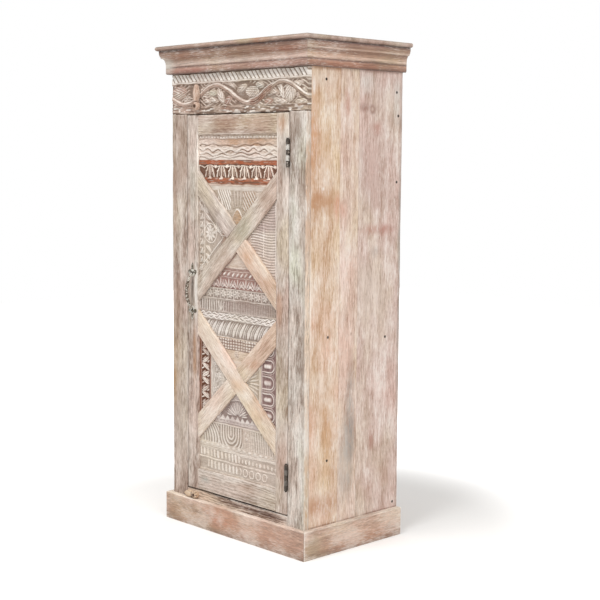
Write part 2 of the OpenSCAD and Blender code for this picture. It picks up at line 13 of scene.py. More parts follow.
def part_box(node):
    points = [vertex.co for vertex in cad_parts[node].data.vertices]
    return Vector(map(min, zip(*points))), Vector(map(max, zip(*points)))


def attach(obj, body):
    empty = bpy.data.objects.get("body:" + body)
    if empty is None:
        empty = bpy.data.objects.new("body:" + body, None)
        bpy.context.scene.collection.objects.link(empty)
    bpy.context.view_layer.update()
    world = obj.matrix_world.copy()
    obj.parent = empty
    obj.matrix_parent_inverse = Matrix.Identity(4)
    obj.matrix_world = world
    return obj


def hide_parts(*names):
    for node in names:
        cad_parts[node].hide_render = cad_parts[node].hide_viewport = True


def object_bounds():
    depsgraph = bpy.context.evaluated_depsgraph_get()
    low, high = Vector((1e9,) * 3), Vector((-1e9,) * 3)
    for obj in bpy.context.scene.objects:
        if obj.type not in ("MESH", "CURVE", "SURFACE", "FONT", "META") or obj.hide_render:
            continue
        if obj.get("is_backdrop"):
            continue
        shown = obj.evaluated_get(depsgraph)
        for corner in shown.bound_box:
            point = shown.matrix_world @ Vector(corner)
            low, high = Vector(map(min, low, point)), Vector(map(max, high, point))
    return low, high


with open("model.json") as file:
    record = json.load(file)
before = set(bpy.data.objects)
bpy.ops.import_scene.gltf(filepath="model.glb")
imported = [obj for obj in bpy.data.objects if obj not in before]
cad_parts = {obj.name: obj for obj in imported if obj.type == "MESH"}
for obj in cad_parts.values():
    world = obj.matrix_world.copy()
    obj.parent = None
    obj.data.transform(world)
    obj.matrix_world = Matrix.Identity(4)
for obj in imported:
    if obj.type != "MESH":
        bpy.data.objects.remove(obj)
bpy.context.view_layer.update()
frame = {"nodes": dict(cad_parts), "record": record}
mm = 0.001

# Camera and stage

photoCamera = {
    "lens": 76.944, "sensor": 36,  # mm
    "azimuth": 46.281,  # degrees round from straight in front, to the right
    "elevation": 6.249,
    "roll": 0.377,
    "place": (3.3917, -3.1403, 1.3465),
}


def setCamera(view):
    azimuth, elevation, roll = (math.radians(view[k]) for k in ("azimuth", "elevation", "roll"))
    back = Vector((math.sin(azimuth) * math.cos(elevation),
                   -math.cos(azimuth) * math.cos(elevation), math.sin(elevation)))
    level = Vector((math.cos(azimuth), math.sin(azimuth), 0))
    upright = back.cross(level)
    right = math.cos(roll) * level + math.sin(roll) * upright
    up = math.cos(roll) * upright - math.sin(roll) * level
    turned = Matrix((right, up, back)).transposed().to_4x4()
    bpy.ops.object.camera_add()
    camera = bpy.context.object
    camera.matrix_world = Matrix.Translation(view["place"]) @ turned
    camera.data.lens = view["lens"]
    camera.data.sensor_width = view["sensor"]
    bpy.context.scene.camera = camera


def deselectAll():
    if bpy.context.mode != "OBJECT":
        bpy.ops.object.mode_set(mode="OBJECT")
    bpy.ops.object.select_all(action="DESELECT")


def activate(piece):
    deselectAll()
    piece.select_set(True)
    bpy.context.view_layer.objects.active = piece


def linear(hexColour, shade=1):
    values = [int(hexColour[i:i + 2], 16) / 255 for i in (1, 3, 5)]
    return [shade * (v / 12.92 if v <= 0.04045 else ((v + 0.055) / 1.055) ** 2.4) for v in values] + [1]


# Inputs go in by name, or as a list in the node's own order; a node stands for its first output
def addNode(tree, kind, inputs=(), **settings):
    node = tree.nodes.new("ShaderNode" + kind)
    for key, value in settings.items():
        setattr(node, key, value)
    for key, value in inputs.items() if isinstance(inputs, dict) else enumerate(inputs):
        if isinstance(value, bpy.types.Node):
            value = value.outputs[0]
        if isinstance(value, bpy.types.NodeSocket):
            tree.links.new(value, node.inputs[key])
        else:
            node.inputs[key].default_value = value
    return node


def newMaterial(name):
    material = bpy.data.materials.new(name)
    material.use_nodes = True
    material.node_tree.nodes.clear()
    return material, partial(addNode, material.node_tree)


def backdropRays(add):  # 1 for what the camera sees, straight or in metal and glass
    path = add("LightPath").outputs
    mirror = add("Math", [path["Is Glossy Ray"], path["Is Transmission Ray"]], operation="MAXIMUM")
    return add("Math", [path["Is Camera Ray"], mirror], operation="MAXIMUM")


stage = {
    "floorSide": 14.0,
    "floorColour": "#f4f3f1",
    "floorGlow": (0.12, 1.0),  # added beside the cupboard, where its shadow lies, and far from it
    "glowReach": (0.75, 1.5),  # m from the middle
    "worldLevel": 0.56,
    # name, place, side in m and watts: the key is high in front, so that the shadow falls short and behind
    "lamps": (("key", (0.3, -2.9, 6.4), 2.4, 222), ("fill", (5.6, -1.6, 3.4), 4.0, 130)),
    "aim": (0, 0, 0.9),
}


def setStage():
    deselectAll()
    bpy.ops.mesh.primitive_plane_add(size=stage["floorSide"], location=(0, 0, 0))
    floor = bpy.context.object
    floor.name = "studio_floor"
    material, add = newMaterial("white studio floor")
    away = add("VectorMath", [add("TexCoord").outputs["Object"]], operation="LENGTH").outputs["Value"]
    glow = add("MapRange", [away, *stage["glowReach"], *stage["floorGlow"]], interpolation_type="SMOOTHSTEP")
    strength = add("Math", [backdropRays(add), glow], operation="MULTIPLY")
    diffuse = add("BsdfDiffuse", {"Color": linear(stage["floorColour"])})
    shine = add("Emission", {"Color": (1, 1, 1, 1), "Strength": strength})
    add("OutputMaterial", [add("AddShader", [diffuse, shine])])
    floor.data.materials.append(material)
    floor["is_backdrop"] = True

    world = bpy.data.worlds.new("plain studio")
    world.use_nodes = True
    world.node_tree.nodes.clear()
    add = partial(addNode, world.node_tree)
    level = add("MapRange", {"Value": backdropRays(add), "To Min": stage["worldLevel"], "To Max": 1.0})
    add("OutputWorld", [add("Background", {"Color": (1, 1, 1, 1), "Strength": level})])
    bpy.context.scene.world = world
    for name, place, side, watts in stage["lamps"]:
        bpy.ops.object.light_add(type="AREA", location=place)
        lamp = bpy.context.object
        lamp.name = name
        lamp.data.size = side
        lamp.data.energy = watts
        lamp.rotation_euler = (Vector(stage["aim"]) - Vector(place)).to_track_quat("-Z", "Y").to_euler()
    bpy.context.scene.view_settings.view_transform = "Standard"


setCamera(photoCamera)
setStage()
print("camera and stage ready")

# Finishes

woodDefaults = {
    "grain": "z",  # the axis that the grain runs along, or the slope of a brace in degrees
    "dark": "#a89080", "mid": "#c2b1a3", "light": "#dccdc0",
    "lime": "#ebe2d9",
    "limed": 0.5,  # how much lime stays in the open grain
    "edgeLime": 0.7,  # and along the worn edges
    "contrast": 1.0,
    "torn": 0.5,  # share of the rubbed lime that the scratches leave
    "streak": 3.4,  # mm between the fine grain streaks, drawn a little coarse so that they show
    "tick": 34.0,  # mm that a streak runs before it breaks off
    "band": 26.0,  # mm between the broad bands of early and late wood
    "bandRun": 300,
    # size of the other patterns along and across the grain, in mm
    "cloud": (120, 75), "scratch": (24, 2.3), "wash": (260, 130), "pore": (15, 1.9),
    "pores": 0.4,  # strength of the short dark pores
    "tints": ("#d3a898", "#cdbb93"),  # old washes, pink in one place and ochre in the next
    "tinted": 0.35,
    "rings": 0.0,  # strength of the cathedral figure
    "ringGap": 11.0,
    "ringRun": 0.16,  # how much slower the rings turn along the grain
    # old paint, knots and dirt, and a few painted shadows: colour, centre and half sizes across the face and
    # up in mm, strength; or else colour, centre and radii in space, strength
    "patches": (),
    "face": ("y", -210, 40),  # the axis that meets the face, where it does, and how deep a patch goes, in mm
    "nails": (),  # places of the nail holes in mm
    "nail": "#2c211b",
    "nailHole": (6, 3.6),  # mm from its middle to where it begins and to where it is dark
    "levels": (),  # (height, colour) in mm: tones by height; on a moulding, painted shade with dirt in its quirks and painted highlight with wear on its rounds
    # colours of the stain, and of the hollows: their dark ground with painted shade
    "stain": "#8a4a35", "hollow": "#7d6558",
    "rough": 0.74,
    "bump": 0.45,
    "seed": 0,
}

# where each pattern begins to show and where it shows in full: the values of one lie close round 0.5, of two
# together round 0.8, and a patch fades away from its middle
woodRanges = {
    "tints": ((0.5, 0.68), (0.5, 0.32)), "pores": (0.56, 0.68),
    "grainGaps": (0.38, 0.6), "patch": (1.95, 1.05),
    "stainWear": (0.6, 0.4),
    "inGrain": (0.86, 1.02), "chipped": (0.72, 0.92), "scratched": (0.36, 0.56),
}


def onFace(face, across, height, halfWidth, halfHeight):
    axis, place, depth = face
    if axis == "x":
        return (place, across, height), (depth, halfWidth, halfHeight)
    return (across, place, height), (halfWidth, depth, halfHeight)


# Reclaimed hardwood boards, brushed with lime and waxed: a dry, chalky surface with white in the open grain,
# short dark pores, darker late wood between and old washes of paint in patches
def limedWood(name, **changes):
    look = {**woodDefaults, **changes}
    material, add = newMaterial(name)
    place = add("TexCoord").outputs["Object"]
    turns = {"x": (0, 0, 0), "y": (0, 0, math.radians(-90)), "z": (0, math.radians(90), 0)}
    turn = turns.get(look["grain"]) or (0, math.radians(look["grain"]), 0)
    shift = [0.37 * look["seed"] + 1.7, 0.73 * look["seed"] + 0.4, 0.51 * look["seed"] + 2.9]
    along = add("Mapping", {"Vector": place, "Rotation": turn, "Location": shift})

    def figure(lengthMm, widthMm, detail, rough):  # a pattern drawn out along the grain
        stretch = [1 / (lengthMm * mm), 1 / (widthMm * mm), 1 / (widthMm * mm)]
        spread = add("VectorMath", [along, stretch], operation="MULTIPLY")
        return add("TexNoise", {"Vector": spread, "Scale": 1.0, "Detail": detail, "Roughness": rough})

    fine = figure(look["tick"], look["streak"], 4.0, 0.68)
    broad = figure(look["bandRun"], look["band"], 3.0, 0.55)
    cloud = figure(*look["cloud"], 3.0, 0.6)
    scratch = figure(*look["scratch"], 2.0, 0.7)
    wash = figure(*look["wash"], 2.0, 0.5)
    pore = figure(*look["pore"], 2.0, 0.5)
    tone = 0.0
    for layer, weight in ((cloud, 0.2), (broad, 0.28), (fine, 0.52)):
        tone = add("Math", [layer, weight, tone], operation="MULTIPLY_ADD")
    height = fine
    if look["rings"]:
        slow = add("VectorMath", [along, (look["ringRun"], 1, 1)], operation="MULTIPLY")
        ringScale = math.pi / 10 / (look["ringGap"] * mm)
        rings = add("TexWave", {"Vector": slow, "Scale": ringScale, "Distortion": 14.0, "Detail": 3.0,
                                "Detail Scale": 0.5, "Detail Roughness": 0.6}, bands_direction="Z")
        rings = rings.outputs["Fac"]
        centred = add("Math", [rings, 0.5], operation="SUBTRACT")
        tone = add("Math", [centred, 0.11 * look["rings"], tone], operation="MULTIPLY_ADD")
        height = add("Math", [rings, 0.4 * look["rings"], fine], operation="MULTIPLY_ADD")
    half = 0.115 / look["contrast"]  # the tones lie close round 0.5
    colour = add("ValToRGB", [tone])
    stops = colour.color_ramp.elements
    stops.new(0.5)
    for stop, position, key in zip(stops, (0.5 - half, 0.5, 0.5 + half), ("dark", "mid", "light")):
        stop.position, stop.color = position, linear(look[key])
    # tones by height: on the cornice and top board, painted shade in the quirks and painted highlight on the
    # rounds, with their dirt and wear
    if look["levels"]:
        foot, head = look["levels"][0][0], look["levels"][-1][0]
        rise = add("SeparateXYZ", [place]).outputs["Z"]
        sway = add("Math", [cloud, 2.4 * mm, rise], operation="MULTIPLY_ADD")  # the lines waver by about 1 mm
        profile = add("ValToRGB", [add("MapRange", [sway, (foot + 1.2) * mm, (head + 1.2) * mm, 0.0, 1.0])])
        stops = profile.color_ramp.elements
        stops.remove(stops[1])
        stops[0].color = linear(look["levels"][0][1])
        for level, levelColour in look["levels"][1:]:
            stops.new((level - foot) / (head - foot)).color = linear(levelColour)
        colour = add("MixRGB", [0.92, colour, profile], blend_type="MULTIPLY")
    for tint, reach in zip(look["tints"], woodRanges["tints"]):
        amount = add("MapRange", [wash, *reach, 0.0, look["tinted"]])
        colour = add("MixRGB", [amount, colour, linear(tint)], blend_type="COLOR")
    amount = add("MapRange", [pore, *woodRanges["pores"], 0.0, look["pores"]])
    colour = add("MixRGB", [amount, colour, linear(look["dark"], 0.55)])

    # old paint, knots and dirt, and a few painted shadows, each round its own place, broken up by the grain
    broken = add("MapRange", [fine, *woodRanges["grainGaps"], 0.35, 1.0])
    for patchColour, *spot, strength in look["patches"]:
        centre, radii = spot if len(spot) == 2 else onFace(look["face"], *spot)
        moved = add("VectorMath", [place, [c * mm for c in centre]], operation="SUBTRACT")
        sized = add("VectorMath", [moved, [1 / (r * mm) for r in radii]], operation="MULTIPLY")
        far = add("VectorMath", [sized], operation="LENGTH").outputs["Value"]
        ragged = add("Math", [cloud, 1.4, far], operation="MULTIPLY_ADD")
        mask = add("MapRange", [ragged, *woodRanges["patch"], 0.0, strength])
        amount = add("Math", [mask, broken], operation="MULTIPLY")
        colour = add("MixRGB", [amount, colour, linear(patchColour)])
    for centre in look["nails"]:
        away = add("VectorMath", [place, [c * mm for c in centre]], operation="DISTANCE").outputs["Value"]
        hole = add("MapRange", [away, *(r * mm for r in look["nailHole"]), 0.0, 1.0])
        colour = add("MixRGB", [hole, colour, linear(look["nail"])])

    # carved pieces keep how deep, how stained and how white each point is; the hollow colour is their dark
    # ground with painted shade laid in the recesses
    stain, hollow, ridge, edge = (add("Attribute", attribute_name=key).outputs["Fac"]
                                  for key in ("stain", "hollow", "ridge", "edge"))
    worn = add("MapRange", [fine, *woodRanges["stainWear"], 0.0, 0.7])
    stained = add("MixRGB", [worn, linear(look["stain"]), linear(look["stain"], 0.42)])
    colour = add("MixRGB", [stain, colour, stained])
    colour = add("MixRGB", [hollow, colour, linear(look["hollow"])])

    # lime: in the open grain, more where the cloud is high, and rubbed on along edges and ridges
    cloudy = add("Math", [cloud, 0.6, scratch], operation="MULTIPLY_ADD")
    inGrain = add("MapRange", [cloudy, *woodRanges["inGrain"], 0.0, look["limed"]])
    scratchy = add("Math", [scratch, 0.6, cloud], operation="MULTIPLY_ADD")
    chipped = add("MapRange", [scratchy, *woodRanges["chipped"], 0.0, look["edgeLime"]])
    onEdge = add("Math", [edge, chipped], operation="MULTIPLY")
    rubbed = add("Math", [onEdge, ridge], operation="MAXIMUM")
    left = add("MapRange", [scratch, *woodRanges["scratched"], look["torn"], 1.0])
    rubbed = add("Math", [rubbed, left], operation="MULTIPLY")
    white = add("Math", [inGrain, rubbed], operation="MAXIMUM", use_clamp=True)
    colour = add("MixRGB", [white, colour, linear(look["lime"])])

    bump = add("Bump", {"Height": height, "Strength": look["bump"], "Distance": 0.9 * mm})
    dry = add("MapRange", [white, 0.0, 1.0, look["rough"], 0.9])
    add("OutputMaterial", [add("BsdfPrincipled", {"Base Color": colour, "Roughness": dry, "IOR": 1.5,
                                                  "Specular IOR Level": 0.3, "Normal": bump})])
    return material


# Boards

def random1d(places, size, seed):
    table = np.random.default_rng(seed).random(257)
    u = places / size
    low = np.floor(u).astype(int)
    t = u - low
    t = t * t * (3 - 2 * t)
    return table[low % 257] * (1 - t) + table[(low + 1) % 257] * t


def points(piece):
    values = np.empty(3 * len(piece.data.vertices))
    piece.data.vertices.foreach_get("co", values)
    return values.reshape(-1, 3)


def setPoints(piece, values):
    piece.data.vertices.foreach_set("co", values.ravel())
    piece.data.update()


def mark(piece, name, values):
    attribute = piece.data.attributes.new(name, "FLOAT", "POINT")
    attribute.data.foreach_set("value", np.clip(values, 0, 1).astype(np.float32))


def started(name, scale=(1, 1, 1)):  # the new primitive, with its place and size in its mesh
    piece = bpy.context.object
    piece.name = name
    piece.scale = scale
    bpy.ops.object.transform_apply(location=True, rotation=True, scale=True)
    return piece


@contextmanager
def editing(piece, select="SELECT"):
    activate(piece)
    bpy.ops.object.mode_set(mode="EDIT")
    if select:
        bpy.ops.mesh.select_all(action=select)
    yield
    bpy.ops.object.mode_set(mode="OBJECT")


def bisect(piece, spot, normal, clear=False):
    with editing(piece):
        bpy.ops.mesh.bisect(plane_co=spot, plane_no=normal, clear_outer=clear, use_fill=False)


def applyModifier(piece, kind, **settings):
    modifier = piece.modifiers.new(kind.lower(), kind)
    for key, value in settings.items():
        setattr(modifier, key, value)
    activate(piece)
    bpy.ops.object.modifier_apply(modifier=modifier.name)


boardShape = {
    "support": 6.0,  # mm from an edge to where its wear ends
    "ring": 26.0,  # mm between two rings along the grain
    "bevel": 1.6,
    "wear": 1.5,  # deepest wear of a long edge
    "waveRun": 0.13, "chipRun": 0.03,  # m along an edge from one dent and from one chip to the next
}


def sawBoard(name, low, high, grain, seed, wear=1.0):
    low, high = Vector(low), Vector(high)
    axis = "xyz".index(grain)
    deselectAll()
    bpy.ops.mesh.primitive_cube_add(size=1, location=(low + high) / 2)
    piece = started(name, high - low)
    support = min(boardShape["support"] * mm, min(high - low) / 3)
    for cross in range(3):
        normal = Vector([float(k == cross) for k in range(3)])
        for place in (low[cross] + support, high[cross] - support):
            bisect(piece, normal * place, normal)
    mesh = piece.data
    for part in (mesh.vertices, mesh.edges, mesh.polygons):
        part.foreach_set("select", [False] * len(part))
    for edge in mesh.edges:
        run = mesh.vertices[edge.vertices[1]].co - mesh.vertices[edge.vertices[0]].co
        edge.select = abs(run[axis]) > 2.5 * support
    with editing(piece, select=None):
        bpy.ops.mesh.select_mode(type="EDGE")
        bpy.ops.mesh.subdivide(number_cuts=int((high[axis] - low[axis]) / (boardShape["ring"] * mm)))
    applyModifier(piece, "BEVEL", width=boardShape["bevel"] * mm, segments=2, limit_method="ANGLE")

    spots = points(piece)
    near = np.minimum(spots - np.array(low), np.array(high) - spots)
    close = np.clip(1 - near / support, 0, 1)
    mark(piece, "edge", np.sort(close, axis=1)[:, 1] * 1.25)
    side = np.sign(spots - (np.array(low) + np.array(high)) / 2)
    first, second = crosses = [k for k in range(3) if k != axis]
    corner = seed * 7 + (side[:, first] > 0) * 2 + (side[:, second] > 0)
    dent = np.zeros(len(spots))
    for number in np.unique(corner):  # each long edge wears in its own way
        here = corner == number
        run = spots[here, axis]
        waves = random1d(run, boardShape["waveRun"], int(number))
        chips = random1d(run, boardShape["chipRun"], int(number) + 50) ** 4
        dent[here] = (0.45 * waves + 0.55 * chips) * boardShape["wear"] * wear * mm
    amount = dent * close[:, first] * close[:, second]
    for cross in crosses:
        spots[:, cross] -= side[:, cross] * amount
    setPoints(piece, spots)
    return piece


def settle(piece, body, slotName, material, *nodes):
    piece.data.materials.clear()
    piece.data.materials.append(material)
    activate(piece)
    bpy.ops.object.shade_smooth_by_angle(angle=math.radians(35))
    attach(piece, body)
    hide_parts(*nodes)


def dress(piece, node, body, slotName, look, finish="limed"):
    settle(piece, body, slotName, limedWood(finish + " " + node.replace("_", " "), **look), node)


def paintNode(node, material):
    mesh = frame["nodes"][node].data
    mesh.materials.clear()
    mesh.materials.append(material)


def boards(group, body, slotName, grain="z", wear=1.0, fit=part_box):
    for node, look in group.items():
        piece = sawBoard(node + "_worn", *fit(node), grain, look["seed"], wear)
        dress(piece, node, body, slotName, dict(look, grain=grain))


# Wide plain planks of the sides: peach wood under thin lime, knots, nail holes along the edges
rightFace, leftFace = ("x", 355, 60), ("x", -355, 60)
sidePlanks = {
    "side_plank_right_front": dict(
        dark="#b58c6b", mid="#d7bca5", light="#eddecf", seed=1, edgeLime=0.35, contrast=1.05, tinted=0.4,
        tints=("#dba48b", "#d8bc90"), pores=0.35, limed=0.62,
        nails=((355, -122, 1611), (355, -105, 750), (355, -105, 325)), face=rightFace, patches=(
            ("#bf8452", -188, 1400, 44, 190, 0.75), ("#bd8f68", -120, 1350, 30, 150, 0.5),
            ("#b07a50", -150, 1205, 96, 44, 0.75), ("#cb8468", -64, 1188, 18, 50, 0.65),
            ("#f0e3d5", -196, 890, 26, 90, 0.7), ("#ecdfd2", -130, 1610, 70, 36, 0.6),
            ("#c4946a", -104, 430, 34, 150, 0.6), ("#a86f47", -130, 170, 110, 46, 0.75),
            ("#eadccd", -150, 600, 60, 36, 0.5), ("#b98561", -190, 480, 14, 120, 0.5),
            # the band at 1652 mm, under the cornice, is painted shade with some dirt
            ("#a06c52", -120, 1652, 110, 11, 0.75), ("#77523f", -120, 102, 130, 4, 0.8),
            ("#fdf3e6", -190, 860, 5, 200, 0.9), ("#f2ece6", (355, -180, 1587), (40, 7, 26), 0.95),
            ("#f2ece6", (355, -134, 1251), (40, 7, 8), 0.95))),
    "side_plank_right_middle": dict(
        dark="#b08e7b", mid="#d9c0b0", light="#eee0d6", seed=2, edgeLime=0.25, contrast=1.05, pores=0.35,
        limed=0.62, face=rightFace, patches=(
            ("#ad6751", -22, 1530, 17, 56, 0.65), ("#b98a75", 24, 1500, 20, 120, 0.4),
            ("#eed6cc", -36, 960, 20, 170, 0.7), ("#c98f79", -40, 1178, 22, 36, 0.6),
            ("#8d8781", 6, 420, 24, 260, 0.9), ("#77523f", 0, 102, 90, 4, 0.7),
            ("#b9b2ac", -26, 300, 26, 150, 0.7), ("#8f6b57", (355, 8, 752), (40, 6, 8), 0.8),
            ("#dcb3a1", -20, 690, 50, 90, 0.5))),
    "side_plank_right_rear": dict(
        dark="#a78979", mid="#ceb5aa", light="#e7d9d1", seed=3, edgeLime=0.3, contrast=1.05, pores=0.35,
        limed=0.62, tints=("#cfa397", "#c9bba0"),
        nails=((355, 224, 1581), (355, 233, 1500), (355, 229, 1270), (355, 180, 727), (355, 230, 122)),
        face=rightFace, patches=(
            # the band at 1652 mm, under the cornice, is painted shade with some dirt
            ("#a4786a", 150, 1652, 150, 10, 0.6), ("#77523f", 150, 102, 130, 4, 0.7),
            ("#dcd6ce", 66, 1606, 40, 34, 0.75), ("#84594a", 58, 1524, 30, 16, 0.8),
            ("#a55f49", 128, 1452, 26, 26, 0.6), ("#7f5a4b", (355, 102, 1518), (40, 15, 16), 0.85),
            ("#cdb3a5", (355, 101, 1519), (40, 7, 8), 0.9), ("#b39c94", 100, 1300, 90, 130, 0.35),
            ("#a5624f", 132, 1108, 84, 24, 0.7), ("#998d85", 120, 1030, 26, 24, 0.5),
            ("#e0d0c8", 90, 880, 90, 120, 0.5), ("#a06a57", 112, 376, 14, 46, 0.7),
            ("#b18a75", 150, 220, 90, 70, 0.4), ("#d9d6ce", (355, 226, 1560), (50, 20, 90), 0.65),
            ("#98948e", 250, 900, 10, 800, 0.75))),
    "side_plank_left_front": dict(
        dark="#b8967d", mid="#d0b29c", light="#e3d0c0", seed=4, edgeLime=0.3, contrast=0.9, face=leftFace,
        nails=((-355, -120, 1604), (-355, -112, 760), (-355, -118, 330)),
        patches=(("#c69677", -120, 900, 60, 500, 0.4),)),
    "side_plank_left_middle": dict(
        dark="#b3967f", mid="#ccb39f", light="#e0cfc3", seed=5, edgeLime=0.25, contrast=0.9,
        patches=(("#8f6b57", (-355, 0, 1210), (40, 9, 12), 0.8),)),
    "side_plank_left_rear": dict(
        dark="#b39480", mid="#ccb2a1", light="#e0cfc4", seed=6, edgeLime=0.3, contrast=0.9, face=leftFace,
        nails=((-355, 226, 1590), (-355, 224, 1180), (-355, 222, 640)),
        patches=(("#bf927a", 150, 700, 70, 420, 0.4),)),
}
boards(sidePlanks, "carcass", "limed_side_planks")

# Back, floor and shelves: sawn wood with a little wax, darker than the outside
insideBoards = {
    "floor_board": dict(dark="#94704f", mid="#b08b66", light="#c8a580", limed=0.12, edgeLime=0.2, seed=11),
    "shelf_lower": dict(dark="#94704f", mid="#b28e69", light="#c9a783", limed=0.1, edgeLime=0.2, seed=12),
    "shelf_middle": dict(dark="#8e6c4d", mid="#ab8763", light="#c4a17c", limed=0.1, edgeLime=0.2, seed=13),
    "shelf_upper": dict(dark="#957252", mid="#b38f6b", light="#caa985", limed=0.1, edgeLime=0.2, seed=14),
}
boards(insideBoards, "carcass", "bare_inside", "x")


back = {"planks": 4, "gap": 1.2, "firstSeed": 21}


def bareWood(name, seed, dark, mid, light, **changes):
    return limedWood("bare " + name, seed=seed, dark=dark, mid=mid, light=light, **changes)


def backPlanks():
    low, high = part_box("back_planks")
    pitch = (high.x - low.x + back["gap"] * mm) / back["planks"]
    made = []
    for k in range(back["planks"]):
        left = low.x + k * pitch
        right = left + pitch - back["gap"] * mm
        sides = (left, low.y, low.z), (right, high.y, high.z)
        made.append(sawBoard("back_plank", *sides, "z", back["firstSeed"] + k))
    deselectAll()
    for piece in made:
        piece.select_set(True)
    bpy.context.view_layer.objects.active = made[0]
    bpy.ops.object.join()
    made[0].name = "back_planks_worn"
    material = bareWood("sawn back", 20, "#8f6d50", "#ab8867", "#c4a382", limed=0.15, edgeLime=0.2, bump=0.6)
    settle(made[0], "carcass", "bare_inside", material, "back_planks")


backPlanks()
insideTrim = bareWood("cleats and stop", 25, "#8d6a4b", "#a98561", "#c09c77", limed=0.1, edgeLime=0.1)
paintNode("shelf_cleats", insideTrim)
paintNode("door_stop", insideTrim)
paintNode("door_backing", bareWood("door back", 26, "#8f6e50", "#aa8866", "#c2a17e", limed=0.2, edgeLime=0.1))
print("carcass boards ready")

# Face frame and door frame: greyed old door wood, brushed out along the grain
frameStiles = {
    "frame_stile_left": dict(
        dark="#7c6656", mid="#b6a497", light="#dbcec3", seed=31, contrast=1.15, limed=0.55, patches=(
            ("#ad866b", -330, 650, 26, 260, 0.4), ("#ae8557", -345, 545, 11, 130, 0.65),
            ("#9f7868", -340, 1180, 16, 240, 0.5), ("#a28976", -300, 1350, 34, 150, 0.5),
            ("#cbbcae", -310, 320, 50, 170, 0.5))),
    "frame_stile_right": dict(
        dark="#836f60", mid="#c4b8ae", light="#e6dfd7", seed=32, contrast=1.25, limed=0.8, lime="#e6e2da",
        tints=("#cdb3a3", "#b9bda4"), tinted=0.5, patches=(
            ("#7f6b5b", 318, 1440, 22, 80, 0.8), ("#a58d7b", 335, 1180, 14, 300, 0.4),
            ("#a3a08c", 290, 1150, 12, 160, 0.5), ("#8d7c6c", 346, 600, 10, 420, 0.5),
            ("#c3a383", (355, -200, 230), (5, 60, 230), 1.0),
            ("#e4ccb5", (355, -200, 780), (5, 60, 460), 1.0),
            ("#c9a88f", (355, -200, 1290), (5, 60, 240), 1.0))),
}
doorStiles = {
    "door_stile_left": dict(
        dark="#7f6859", mid="#c0b1a5", light="#e4d9cf", seed=33, contrast=1.2, limed=0.6, patches=(
            ("#b8895f", -228, 620, 10, 120, 0.6), ("#ad9080", -258, 1050, 14, 260, 0.4),
            ("#f3eee6", -220, 880, 10, 110, 0.95), ("#fff6ec", -211, 1370, 4, 90, 1.0),
            # the two dark patches behind the handle's bow are its painted shadow on the stile
            ("#6e5d50", -240, 868, 9, 52, 0.8), ("#4c4038", -238, 893, 6, 24, 0.85),
            ("#b5b5a6", -240, 1250, 20, 120, 0.4))),
    "door_stile_right": dict(
        dark="#8f7766", mid="#c6b6aa", light="#e4dad0", seed=34, contrast=1.15, limed=0.6, patches=(
            ("#b98560", 232, 1462, 24, 34, 0.7), ("#bb8b68", 226, 850, 14, 70, 0.5),
            ("#c49b88", 242, 330, 26, 110, 0.45), ("#a9a9a4", 250, 1360, 22, 90, 0.4),
            ("#fbf0e4", 211, 1370, 4, 100, 0.9))),
}
frameRails = {
    "bottom_frame_rail": dict(
        dark="#6f5545", mid="#bba596", light="#e6d7ca", seed=35, rings=0.8, limed=0.6, contrast=1.3, patches=(
            # the near-black line along the rail's top, at 132 mm, is painted shadow in the gap under the door
            ("#2b211b", (0, -203, 132), (520, 60, 3.5), 1.0), ("#4a2d21", 150, 118, 170, 9, 1.0),
            ("#e8cdb5", -190, 118, 90, 18, 0.75))),
}
doorRails = {
    "door_rail_top": dict(
        dark="#886a5b", mid="#bba697", light="#e0d4c9", seed=36, rings=0.4, limed=0.45, patches=(
            ("#a07a5f", -20, 1472, 110, 24, 0.6), ("#bd9a8b", 120, 1470, 70, 26, 0.5),
            ("#d3c5b7", -170, 1470, 50, 40, 0.6))),
    "door_rail_bottom": dict(
        dark="#8f7a6a", mid="#c5b7ab", light="#e4dad0", seed=37, rings=0.7, limed=0.5, patches=(
            ("#9aa29c", -165, 178, 30, 16, 0.6), ("#c4a795", 40, 185, 120, 18, 0.5))),
}
trimming = {"left": 1.5, "foot": 2.6, "top": 1.2, "hinge": 0.3}  # mm of wear that opens the door's gap


def trimmed(node):
    low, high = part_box(node)
    if node == "frame_stile_right":
        low.x += trimming["hinge"] * mm
    if not node.startswith("door"):
        return low, high
    left, right = (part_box(side) for side in doorStiles)
    if low.x < left[0].x + mm:
        low.x += trimming["left"] * mm
    if high.x > right[1].x - mm:
        high.x -= trimming["hinge"] * mm
    if low.z < left[0].z + mm:
        low.z += trimming["foot"] * mm
    if high.z > left[1].z - mm:
        high.z -= trimming["top"] * mm
    return low, high


def betweenStiles(node):
    low, high = trimmed(node)
    leftStile, rightStile = doorStiles if node.startswith("door") else frameStiles
    low.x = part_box(leftStile)[1].x
    high.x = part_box(rightStile)[0].x
    return low, high


boards(frameStiles, "carcass", "limed_frame", wear=1.4, fit=trimmed)
boards(doorStiles, "door", "limed_door_frame", fit=trimmed)
boards(frameRails, "carcass", "limed_frame", "x", fit=betweenStiles)
boards(doorRails, "door", "limed_door_frame", "x", fit=betweenStiles)
print("frame and door frame ready")


# Plinth, cornice and top board: copies of the frame's mouldings, ringed along their length and worn

def convexity(piece):
    mesh = piece.data
    spots = points(piece)
    normals = np.empty(3 * len(mesh.vertices))
    mesh.vertices.foreach_get("normal", normals)
    ends = np.empty(2 * len(mesh.edges), int)
    mesh.edges.foreach_get("vertices", ends)
    ends = ends.reshape(-1, 2)
    run = spots[ends[:, 1]] - spots[ends[:, 0]]
    run /= np.linalg.norm(run, axis=1)[:, None] + 1e-12
    total = np.zeros_like(spots)
    count = np.zeros(len(spots))
    np.add.at(total, ends[:, 0], run)
    np.add.at(total, ends[:, 1], -run)
    np.add.at(count, ends.ravel(), 1)
    normals = normals.reshape(-1, 3)
    return -np.sum(total * normals, axis=1) / np.maximum(count, 1), normals


